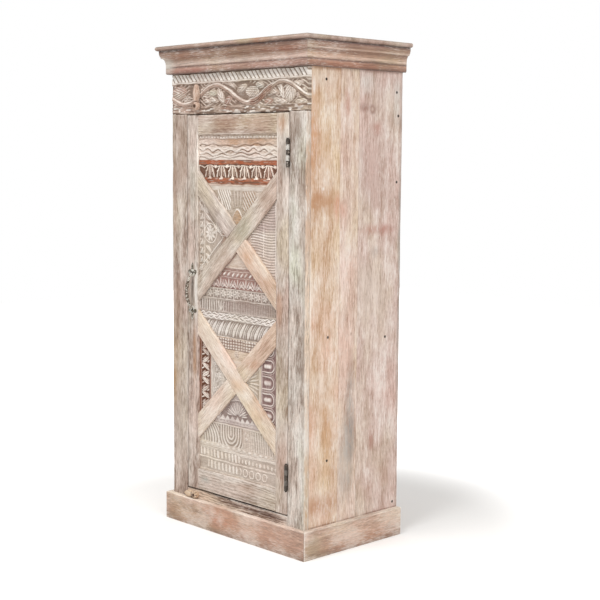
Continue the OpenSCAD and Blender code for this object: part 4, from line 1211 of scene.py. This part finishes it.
# what each carved board shows: pattern, slot, grain, and where its finish differs from that of its slot
carvings = {
    "carved_waves": (carveWaves, "carved_mauve", "x", dict(
        dark="#a38b7b", mid="#cdbbad", light="#e8dcd1", contrast=1.3, stain="#c0926e", hollow="#8d6f5c")),
    "carved_lotus": (carveLotus, "carved_red", "x", dict(stain="#b3623f", hollow="#674838", lime="#fff3e6")),
    "carved_fan": (carveFan, "carved_grey", "x", dict(
        dark="#9c8979", mid="#bcac9d", light="#d3c4b7", stain="#c0946a")),
    "carved_flower": (carveFlower, "carved_grey", "z", dict(mid="#d1c2b7", light="#e8dcd1", stain="#a5846f")),
    "carved_ladder": (carveLadder, "carved_mauve", "z", dict(
        dark="#a58e84", mid="#dcccbe", light="#efe1d5", stain="#c4a6a0", hollow="#a08e84")),
    "carved_zigzag": (carveZigzag, "carved_mauve", "x", dict(
        mid="#c9b3a2", stain="#a97e76", hollow="#8d655c")),
    "carved_rosettes": (carveRosettes, "carved_grey", "x", dict(
        dark="#9a887b", mid="#bbaca2", light="#d9ccc3", stain="#b2968e", hollow="#86766d")),
    "carved_leaves": (carveLeaves, "carved_grey", "x", dict(
        mid="#cdc1b9", light="#e6dbd4", hollow="#877569", lime="#fbf5ef")),
    "carved_checker": (carveChecker, "carved_grey", "x", dict(
        dark="#b39a83", mid="#dac6b1", stain="#b08f82", hollow="#775b4c")),
    "carved_chevron": (carveChevron, "carved_red", "z", dict(
        stain="#93573a", hollow="#54321f", lime="#fff8ee")),
    "carved_sprigs": (carveSprigs, "carved_grey", "z", dict(
        mid="#dacfc6", light="#ede3da", hollow="#a39588")),
    "carved_arches": (carveArches, "carved_mauve", "z", dict(
        mid="#c2afa4", light="#dfd0c6", stain="#a3807b", hollow="#765956")),
    "carved_lined": (carveLined, "carved_grey", "z", dict(dark="#998775", mid="#bfae9c", light="#d7c6b4")),
    "carved_petals": (carvePetals, "carved_mauve", "x", dict(
        mid="#c3b2a9", light="#dfd1c8", stain="#ab9490", hollow="#87746d")),
    "carved_scallops": (carveScallops, "carved_grey", "x", dict(
        dark="#a79686", mid="#cbbdb0", light="#e0d5c9", hollow="#907e6f")),
    "carved_teeth": (carveTeeth, "carved_grey", "x", dict(
        dark="#b5a495", mid="#dacdc0", light="#efe5db", hollow="#98867a")),
}
carvedShape = {
    "spacing": 1.5,  # mm between two points of a carved face
    "joint": 0.5,  # mm left beside a brace
    "handSway": 1.6,  # mm that a line drawn by hand strays
    "deepest": -4, "highest": 5.5, "grit": 0.45,  # mm
    "firstSeed": 61,
}


def carvedGrid(name, low, high):
    deselectAll()
    size = (high.x - low.x, high.z - low.z)
    columns, rows = (int(round(side / (carvedShape["spacing"] * mm))) for side in size)
    middle = (low + high) / 2
    bpy.ops.mesh.primitive_grid_add(x_subdivisions=columns, y_subdivisions=rows, size=1,
                                    location=(middle.x, low.y, middle.z), rotation=(math.pi / 2, 0, 0))
    return started(name, (*size, 1))


def cutBesideBraces(piece, low, high):
    middle = (low + high) / 2
    corners = [Vector((x, 0, z)) for x in (low.x, high.x) for z in (low.z, high.z)]
    for level, slope, half in arms:
        above = middle.z > level + slope * middle.x
        lift = half + carvedShape["joint"] * mm * math.hypot(1, slope)
        spot = (0, 0, level + lift if above else level - lift)
        normal = Vector((slope, 0, -1) if above else (-slope, 0, 1)).normalized()
        if any((corner - Vector(spot)).dot(normal) > 0 for corner in corners):
            bisect(piece, spot, normal, clear=True)


def cutRelief(piece, pattern, low, high, seed):
    spots = points(piece)
    x, z = (spots[:, 0] - low.x) / mm, (spots[:, 2] - low.z) / mm
    sway = carvedShape["handSway"]
    strayX, strayZ = (run + sway * (2 * random2d(x, z, 34, seed + k) - 1)
                      + 0.5 * sway * (2 * random2d(x, z, 9, seed + k + 1) - 1) for run, k in ((x, 0), (z, 2)))
    carving = Carving(x)
    pattern(carving, strayX, strayZ, (high.x - low.x) / mm, (high.z - low.z) / mm)
    worn = 0.72 + 0.5 * random2d(x, z, 30, seed + 4)
    grit = random2d(x, z, 3.2, seed + 5) - 0.5
    raised = np.clip(carving.height, carvedShape["deepest"], carvedShape["highest"]) * worn
    spots[:, 1] -= (raised + carvedShape["grit"] * grit) * mm
    setPoints(piece, spots)
    mark(piece, "ridge", carving.ridge * (0.55 + 0.75 * random2d(x, z, 22, seed + 6)))
    mark(piece, "stain", carving.stain * (0.6 + 0.6 * random2d(x, z, 26, seed + 7)))
    hollow = carving.hollow * np.clip(1 - carving.rise / 1.6, 0, 1)
    for level, slope, half in arms:  # painted shadow, with some dirt, in the corner along each brace, most of it on the lower side where the shadow falls
        off = (spots[:, 2] - level - slope * spots[:, 0]) / mm / math.hypot(1, slope)
        away = np.abs(off) - half / mm / math.hypot(1, slope)
        hollow = np.maximum(hollow, step(5.5, 1.5, away) * np.where(off < 0, 1.0, 0.45))
    mark(piece, "hollow", hollow)
    mark(piece, "edge", np.zeros(len(x)))


def closeBack(piece, back):
    with editing(piece, "DESELECT"):
        bpy.ops.mesh.select_mode(type="EDGE")
        bpy.ops.mesh.select_non_manifold(extend=False, use_wire=False, use_boundary=True, use_verts=False,
                                         use_multi_face=False, use_non_contiguous=False)
        bpy.ops.mesh.extrude_edges_move(TRANSFORM_OT_translate={"value": (0, mm, 0)})
    chosen = np.empty(len(piece.data.vertices), bool)
    piece.data.vertices.foreach_get("select", chosen)
    spots = points(piece)
    spots[chosen, 1] = back
    setPoints(piece, spots)
    with editing(piece, select=None):
        bpy.ops.mesh.edge_face_add()
        bpy.ops.mesh.select_all(action="SELECT")
        bpy.ops.mesh.normals_make_consistent(inside=False)


for k, (node, (pattern, slotName, grain, changes)) in enumerate(carvings.items()):
    seed = carvedShape["firstSeed"] + k
    low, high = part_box(node)
    piece = carvedGrid(node + "_cut", low, high)
    cutBesideBraces(piece, low, high)
    cutRelief(piece, pattern, low, high, seed)
    closeBack(piece, high.y)
    look = dict(carvedWoods[slotName], grain=grain, seed=seed, **changes)
    dress(piece, node, "door", slotName, look, "whitewashed")
print("carved boards ready")

# Frieze: a rope band over a vine, cut into the board under the cornice

frieze = {
    "ropeFoot": 114, "ropeHead": 141, "ropePitch": 21, "ropeLean": 0.8,
    "fieldFoot": 25, "fieldTop": 107, "depth": 6.0,
    "stemWave": 173, "stemCrest": 244, "stemMiddle": 67, "stemSway": 33, "stemHalf": 8.0,
    "ribPitch": 8.5, "lattice": 12.5,
    "bark": (425, 540, 26),  # from, to and softness in mm: there the vine is broader, brown and grooved
    "carvedTop": 150,
    # centre, half length and half width in mm, turn in degrees, then how white it is and how stained
    "leaves": (
        ((40, 78), (42, 25), 0, 0.6, 0.5), ((34, 40), (36, 10), -8, 1.0, 0),
        ((134, 82), (21, 13), 42, 0.6, 0), ((196, 46), (24, 9), -10, 0.8, 0),
        ((229, 72), (25, 12), 6, 0.4, 0), ((234, 49), (26, 9), -12, 0.7, 0),
        ((271, 61), (31, 16), -54, 1.0, 0), ((312, 46), (22, 13), 30, 0.5, 0.8),
        ((330, 97), (24, 8), -28, 0.7, 0), ((384, 84), (28, 13), 16, 0.6, 0),
        ((476, 92), (22, 12), -10, 0.9, 0), ((466, 46), (44, 13), 22, 0.5, 1),
        ((521, 36), (22, 11), 8, 0.4, 0.8), ((508, 66), (24, 9), 30, 0.6, 0.4),
        ((552, 67), (24, 8), -10, 0.6, 0.3), ((584, 70), (29, 11), -62, 1.0, 0),
        ((627, 64), (33, 27), 64, 0.8, 0), ((578, 38), (34, 9), -8, 0.6, 0), ((661, 90), (27, 10), 4, 0.9, 0),
        ((678, 32), (28, 10), 0, 0.8, 0), ((693, 64), (15, 14), 80, 0.6, 0)),
    "clusters": (((90, 48), (24, 18)), ((181, 77), (25, 18)), ((437, 72), (33, 18))),
    "berries": (
        ((685, 96), 8), ((663, 54), 8), ((292, 84), 6), ((148, 46), 9), ((14, 100), 6), ((352, 44), 7)),
    "wood": dict(grain="x", dark="#8b7565", mid="#b4a192", light="#d4c5b8", lime="#f6efe7", stain="#9c6a55",
                 hollow="#725c4d", limed=0.3, streak=3, band=18, tick=20, torn=0.7, seed=81,
                 patches=(("#a7a88a", -126, 1577, 28, 12, 0.6), ("#a3a286", -315, 1572, 40, 12, 0.5),
                          ("#9fa39c", 120, 1590, 30, 14, 0.5))),
}


def oval(x, z, centre, radii, turn=0):
    slant = math.radians(turn)
    u = ((x - centre[0]) * math.cos(slant) + (z - centre[1]) * math.sin(slant)) / radii[0]
    v = ((z - centre[1]) * math.cos(slant) - (x - centre[0]) * math.sin(slant)) / radii[1]
    return u, v, hump(np.hypot(u, v), 1) ** 0.6


def ribs(x, z, centre, radii, turn):  # an oval leaf with ribs that curve towards its tip
    u, v, body = oval(x, z, centre, radii, turn)
    bent = (np.abs(v) * radii[1] + 0.2 * np.clip(u + 1, 0, 2) ** 1.6 * radii[0]) / frieze["ribPitch"]
    return body, body * swell(bent)


def carveFrieze(c, x, z, width, height):
    f = frieze
    # painted shadow: a dark line along the foot of the board and a dark band over the rope, under the cornice
    c.sink(hump(z - 1, 3), 3.0, 1.0)
    c.sink(step(f["ropeHead"], f["ropeHead"] + 2, z), 3.0, 1.0)
    rope = inside(z, f["ropeFoot"] + 1, f["ropeHead"], 2)
    turns = cyclic(x + f["ropeLean"] * (z - f["ropeFoot"]), 4, f["ropePitch"])
    strand = hump(turns, 0.42 * f["ropePitch"])
    c.sink(rope, 4.8, 0.42)
    c.lift(rope * strand, 4.8)
    c.whiten(rope * step(0.3, 0.7, strand))
    c.whiten(inside(z, f["fieldTop"] + 3, f["ropeFoot"], 2) * 0.75)
    field = inside(z, f["fieldFoot"] + 2, f["fieldTop"], 4)
    c.sink(field, f["depth"], 0.8)
    phase = np.pi * (x - f["stemCrest"]) / f["stemWave"]
    path = f["stemMiddle"] + f["stemSway"] * np.cos(phase)
    slope = -f["stemSway"] * np.pi / f["stemWave"] * np.sin(phase)
    away = (z - path) / np.hypot(1, slope)
    bark = inside(x, *f["bark"])
    half = f["stemHalf"] + 4 * bark
    clear = step(half + 0.5, half + 2.5, np.abs(away)) * field
    drift = z + 9 * np.sin(x / 29) + 7 * random2d(x, z, 40, 5) + 0.45 * np.abs(x % 190 - 95)
    strokes = np.cos(2 * np.pi * drift / 15)
    tendrils = step(0.1, 0.9, strokes) * step(0.25, 0.6, random2d(x / 2, z, 21, 6))
    c.lift(0.75 * tendrils * clear, 5.2, 0.6)
    for centre, radii, turn, white, stained in f["leaves"]:
        body, comb = ribs(x, z, centre, radii, turn)
        grown = clear * (0.6 * body + 0.4 * comb) * 6.4
        c.lift(np.clip(grown - c.rise, 0, 9), 1.0)
        c.ridge *= 1 - 0.8 * (body > 0.2)
        c.whiten(clear * (0.25 * body + 0.75 * step(0.4, 0.9, comb)) * white)
        c.tint(clear * step(0.1, 0.5, body) * (1 - 0.6 * comb), stained)
    for centre, radii in f["clusters"]:
        body = oval(x, z, centre, radii)[2]
        lattice = np.cos(2 * np.pi * (x + z) / f["lattice"]) * np.cos(2 * np.pi * (x - z) / f["lattice"])
        c.lift(clear * body * (0.55 + 0.45 * lattice), 5.6)
        c.ridge *= 1 - 0.8 * (body > 0.2)
        c.whiten(clear * (body > 0.2) * step(0.05, 0.5, lattice) * 0.95)
    for centre, radius in f["berries"]:
        ball = hump(np.hypot(x - centre[0], z - centre[1]), radius)
        c.lift(clear * ball, 5.0, 0.5)
        c.tint(clear * ball, 0.6)
    c.lift(hump(away, half) * field, 6.4)
    # lime with a painted highlight along the stem's upper side, and on the upper edge of its bark
    limed = (0.25 + 0.6 * random2d(x, z, 31, 7)) * (1 - 0.85 * bark)
    c.whiten(inside(away, 1.8, half - 0.8, 2) * field * limed)
    c.whiten(inside(away, half - 1.5, half + 2, 2) * field * bark * 0.8)
    c.sink(hump(away + 1.5, 1.6) * field, 1.6, 0.5)
    grooves = hump(cyclic(away + 1.5 * np.sin(x / 17), 0, 6.4), 1.7) * bark
    grooves = grooves * inside(away, -half, half, 2) * field
    c.height -= 2.2 * grooves
    c.tint(inside(away, -half, 0, 2) * field, 0.25)
    c.tint(inside(away, -half, half - 2, 2) * field * bark, 0.55 + 0.45 * grooves)
    # painted shadow line under the stem
    c.darken(inside(away, -half - 4, -half - 0.5, 1.5) * field)
    foot = 1 - step(f["fieldFoot"] - 2, f["fieldFoot"] + 3, z)
    rough = random2d(x / 9, z, 4.2, 3)
    c.sink(foot, 0.8 + 2.2 * rough, 0.0)
    c.darken(foot * step(0.35, 0.7, rough) * 0.9)
    c.whiten(foot * step(0.62, 0.8, random2d(x / 3, z, 5, 8)) * 0.7)
    c.tint(foot * step(0.5, 0.8, random2d(x / 6, z, 9, 12)), 0.5)


def friezeBoard():
    low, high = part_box("frieze_board")
    piece = carvedGrid("frieze_board_cut", low, high)
    spots = points(piece)
    share = (spots[:, 2] - low.z) / (high.z - low.z)
    spots[:, 2] = low.z + np.interp(share, (0, 0.93, 1), (0, frieze["carvedTop"] * mm, high.z - low.z))
    setPoints(piece, spots)
    cutRelief(piece, carveFrieze, low, high, frieze["wood"]["seed"])
    spots = points(piece)
    spots[:, 1] = np.maximum(spots[:, 1], low.y)
    setPoints(piece, spots)
    closeBack(piece, high.y)
    settle(piece, "carcass", "limed_frame", limedWood("whitewashed frieze", **frieze["wood"]), "frieze_board")


friezeBoard()
print("frieze ready")

# Iron: hinges, screws and the bow handle

ironDefaults = {
    "dark": "#35302b", "mid": "#57504a", "rust": "#6e4d3b",
    "paint": "#d5d1c7",
    "painted": 0.35,  # share of the surface that old paint still covers
    "blot": 7.0, "pit": 1.6,  # mm
    "rusted": (0.56, 0.68),  # where rust begins in the blots and where it is full
    "bareBelow": 0.0,  # mm, little paint is left under this height
    "rough": 0.58,
}


# Wrought and cast iron, blackened by age: dull grey-brown metal, rust in the pits, limewash on its high spots
def agedIron(name, **changes):
    look = {**ironDefaults, **changes}
    material, add = newMaterial("aged iron " + name.replace("_", " "))
    place = add("TexCoord").outputs["Object"]
    blots = add("TexNoise", {"Vector": place, "Scale": 1 / (look["blot"] * mm), "Detail": 4.0,
                             "Roughness": 0.62})
    pits = add("TexNoise", {"Vector": place, "Scale": 1 / (look["pit"] * mm), "Detail": 3.0})
    colour = add("ValToRGB", [pits])
    for stop, position, key in zip(colour.color_ramp.elements, (0.35, 0.65), ("dark", "mid")):
        stop.position, stop.color = position, linear(look[key])
    rusted = add("MapRange", [blots, *look["rusted"], 0.0, 0.7])
    colour = add("MixRGB", [rusted, colour, linear(look["rust"])])
    level = 0.66 - 0.3 * look["painted"]  # paint holds where the blots are above this
    high = add("Attribute", attribute_name="ridge").outputs["Fac"]
    lifted = add("Math", [high, 0.14, blots], operation="MULTIPLY_ADD")
    paint = add("MapRange", [lifted, level - 0.05, level + 0.04, 0.0, 0.9])
    if look["bareBelow"]:
        rise = add("SeparateXYZ", [place]).outputs["Z"]
        kept = add("MapRange", [rise, (look["bareBelow"] - 9) * mm, (look["bareBelow"] + 9) * mm, 0.2, 1.0])
        paint = add("Math", [paint, kept], operation="MULTIPLY")
    colour = add("MixRGB", [paint, colour, linear(look["paint"])])
    metal = add("MapRange", [paint, 0.0, 1.0, 0.75, 0.0])
    dull = add("MapRange", [paint, 0.0, 1.0, look["rough"], 0.85])
    bump = add("Bump", {"Height": pits, "Strength": 0.5, "Distance": 0.4 * mm})
    add("OutputMaterial", [add("BsdfPrincipled", {"Base Color": colour, "Metallic": metal, "Roughness": dull,
                                                  "Normal": bump})])
    return material


ironLooks = {
    "hinge_frame_leaves": dict(painted=0.05, bareBelow=800),
    "hinge_door_leaves": dict(painted=0.8, paint="#cfcbc4", bareBelow=800),
    "hinge_pins": dict(painted=0.0),
    "frame_hinge_screws": dict(painted=0.5),
    "door_screws": dict(painted=0.45),
    "button_screws": dict(painted=0.0, dark="#4b382c", mid="#6b5140"),
}
for node, look in ironLooks.items():
    paintNode(node, agedIron(node, **look))

handle = {
    "span": 130.0, "projection": 35.0, "rod": 6.8, "plate": 3.0,
    "bead": 11.0,  # mm between the beads of the bow
    "twist": 15,  # mm between the turns cut round it
    "beadDepth": 1.5,
    "beadedTo": (0.5, 0.72),  # shares of the half span over which the beads end
    "limedFrom": (0.46, 0.7),  # and over which the lime on the plain arms begins
    "arm": 0.66,  # share of the rod's thickness that the plain arms keep
    "steps": 110,
    # outline of a plate: its length at the tip, waist, side lobes and round end, in mm, each with its spread
    # or angle in degrees
    "reach": 39.0, "reachSpread": 14, "waist": 10.5,
    "lobe": 13.8, "lobeSpread": 33, "lobeAngle": 68,
    "end": 1.5, "endSpread": 30,
    "rim": 1.6,
    "boss": 5.8,
    "bow": dict(painted=0.25, blot=6.0, dark="#45392f", mid="#6b5c4e", paint="#cac3b8"),
    "plates": dict(painted=0.3, blot=7.0, dark="#463d31", mid="#6b6250"),
    "bosses": dict(painted=0.45),
}


def smooth(piece):
    with editing(piece):
        bpy.ops.mesh.remove_doubles(threshold=0.01 * mm)
        bpy.ops.mesh.normals_make_consistent(inside=False)


def handleBow(centre):
    h = handle
    out = h["projection"] - h["rod"] - h["plate"]
    radius = ((h["span"] / 2) ** 2 + out ** 2) / (2 * out)
    sweep = math.asin(h["span"] / 2 / radius)
    axis = Vector((centre.x, centre.y + (radius - out - h["plate"]) * mm, centre.z))
    foot = Vector((centre.x, centre.y - h["plate"] * mm, centre.z - h["span"] / 2 * mm))
    deselectAll()
    bpy.ops.mesh.primitive_circle_add(vertices=20, radius=h["rod"] * mm, fill_type="NGON", location=foot,
                                      rotation=(sweep, 0, 0))
    piece = started("handle_bow")
    with editing(piece):
        bpy.ops.mesh.spin(steps=h["steps"], angle=2 * sweep, center=axis, axis=(1, 0, 0))
    spots = points(piece) - np.array(axis)
    angle = np.arctan2(spots[:, 2], -spots[:, 1])
    middle = np.stack([np.zeros(len(angle)), -np.cos(angle) * radius * mm, np.sin(angle) * radius * mm], 1)
    run = angle * radius  # mm along the bow
    beaded = 1 - step(*(share * h["span"] / 2 for share in h["beadedTo"]), np.abs(run))
    around = np.arctan2(spots[:, 0], np.linalg.norm(spots[:, 1:], axis=1) - radius * mm)
    beads = 0.5 - 0.5 * np.cos(2 * np.pi * run / h["bead"])
    twist = 0.5 - 0.5 * np.cos(2 * around + 2 * np.pi * run / h["twist"])
    slim = h["arm"] + (1 - h["arm"]) * beaded
    slim = slim * (1 - beaded * h["beadDepth"] / h["rod"] * (0.75 * (1 - beads) + 0.35 * twist))
    setPoints(piece, middle + (spots - middle) * slim[:, None] + np.array(axis))
    limed = step(*h["limedFrom"], np.abs(run) / (h["span"] / 2)) * np.where(run > 0, 1.0, 0.7)
    mark(piece, "ridge", np.maximum(0.45 * beaded * beads, limed))
    smooth(piece)
    return piece


def handlePlate(centre, end, word):
    h = handle
    deselectAll()
    foot = Vector((centre.x, centre.y, centre.z + end * h["span"] / 2 * mm))
    bpy.ops.mesh.primitive_circle_add(vertices=96, radius=10 * mm, fill_type="NGON", location=foot,
                                      rotation=(math.pi / 2, 0, 0))
    piece = started("handle_plate_" + word)
    spots = points(piece) - np.array(foot)
    angle = np.degrees(np.arctan2(spots[:, 0], end * spots[:, 2]))
    reach = h["waist"] + (h["reach"] - h["waist"]) * np.exp(-(angle / h["reachSpread"]) ** 2)
    reach += h["lobe"] * np.exp(-((np.abs(angle) - h["lobeAngle"]) / h["lobeSpread"]) ** 2)
    reach += h["end"] * np.exp(-((180 - np.abs(angle)) / h["endSpread"]) ** 2)
    spots *= (reach * mm / np.linalg.norm(spots, axis=1))[:, None]
    setPoints(piece, spots + np.array(foot))
    with editing(piece):
        bpy.ops.mesh.extrude_region_move(TRANSFORM_OT_translate={"value": (0, -0.6 * h["plate"] * mm, 0)})
        bpy.ops.mesh.inset(thickness=h["rim"] * mm, depth=0.35 * h["plate"] * mm)
    smooth(piece)
    applyModifier(piece, "BEVEL", width=0.4 * mm, limit_method="ANGLE")
    away = np.linalg.norm((points(piece) - np.array(foot))[:, [0, 2]], axis=1) / mm
    mark(piece, "ridge", step(19, 10, away))
    return piece


def handleBoss(centre, end, word):
    h = handle
    deselectAll()
    high = 2.2 * h["plate"] * mm
    spot = (centre.x, centre.y - high / 2, centre.z + end * h["span"] / 2 * mm)
    bpy.ops.mesh.primitive_cylinder_add(vertices=32, radius=h["boss"] * mm, depth=high, location=spot,
                                        rotation=(math.pi / 2, 0, 0))
    piece = started("handle_boss_" + word)
    applyModifier(piece, "BEVEL", width=1.5 * mm, segments=3)
    return piece


def handlePieces():
    low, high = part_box("handle")
    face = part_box("door_stile_left")[0].y
    centre = Vector(((low.x + high.x) / 2, face, (low.z + high.z) / 2))
    pieces = [(handleBow(centre), handle["bow"])]
    for end, word in ((1, "upper"), (-1, "lower")):
        pieces.append((handlePlate(centre, end, word), handle["plates"]))
        pieces.append((handleBoss(centre, end, word), handle["bosses"]))
    for piece, look in pieces:
        settle(piece, "door", "aged_iron", agedIron(piece.name, **look), "handle")


handlePieces()
print("iron ready")

# Turn buttons: whittled by hand from one piece of wood, a round head on its screw and a leaf-shaped tail

buttonShape = {"voxel": 1.1, "crown": 3.6, "shoulder": 1.6, "notch": 1.6, "tip": 1.2, "petal": 2.6}  # mm
buttonWood = dict(dark="#987560", mid="#c5a794", light="#e0cbbc", limed=0.4, band=9, streak=2.5, edgeLime=0.5)
# body, direction of the tail across and up, radius of the head in mm, petals cut into it, finish
turnButtons = {
    "upper_turn_button": ("upper_button", (0, 1), 14, 0, dict(buttonWood, grain="z", seed=91)),
    "lower_turn_button": ("lower_button", (-1, 0), 13, 7, dict(
        buttonWood, grain="x", dark="#a98467", mid="#d3b69b", light="#ead8c5", seed=92)),
}
pivots = {joint["child"]: joint["pos_m"] for joint in frame["record"]["behaviour"]["joints"]}


def turnButton(node, body, tail, headRadius, petals, look):
    b = buttonShape
    piece = wornCopy(node, look, ring=400, wear=0)
    piece.data.attributes.remove(piece.data.attributes["edge"])
    applyModifier(piece, "REMESH", mode="VOXEL", voxel_size=b["voxel"] * mm)
    applyModifier(piece, "SMOOTH", iterations=4)
    low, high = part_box(node)
    spots = points(piece)
    tail = np.array(tail, float)
    offset = (spots[:, [0, 2]] - np.array((pivots[body][0], pivots[body][2]))) / mm
    along, sideways = offset @ tail, offset @ np.array((-tail[1], tail[0]))
    front = step(0.35, 0.8, (high.y - spots[:, 1]) / (high.y - low.y))
    reach = np.hypot(offset[:, 0], offset[:, 1])
    onHead = reach < headRadius + 1
    sunk = b["crown"] * (np.abs(sideways) / headRadius) ** 2.2
    shoulder = b["shoulder"] * step(0.6 * headRadius, headRadius, reach)
    sunk = np.where(onHead, np.maximum(sunk * 0.4, shoulder), sunk)
    sunk += b["notch"] * hump(along - headRadius - 1.5, 2.2)
    sunk += b["tip"] * step(0.55, 1.0, along / along.max())
    # the notch and the petal cuts are darkened: dark ground with painted shade
    hollow = hump(along - headRadius - 1.5, 3.0) * 0.8
    if petals:
        turn = np.degrees(np.arctan2(sideways, along))
        cuts = hump((turn % (360 / petals)) - 180 / petals, 9)
        cuts *= step(0.4 * headRadius, 0.75 * headRadius, reach)
        cuts *= onHead * (along < 0.4 * headRadius)
        sunk += b["petal"] * cuts
        hollow = np.maximum(hollow, cuts)
    spots[:, 1] += sunk * front * mm
    setPoints(piece, spots)
    mark(piece, "edge", np.clip(convexity(piece)[0] * 1.4, 0, 1))
    mark(piece, "hollow", hollow * front)
    dress(piece, node, body, "turn_button_wood", look, "whittled")


for node, (body, tail, headRadius, petals, look) in turnButtons.items():
    turnButton(node, body, tail, headRadius, petals, look)
print("turn buttons ready")

low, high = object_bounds()
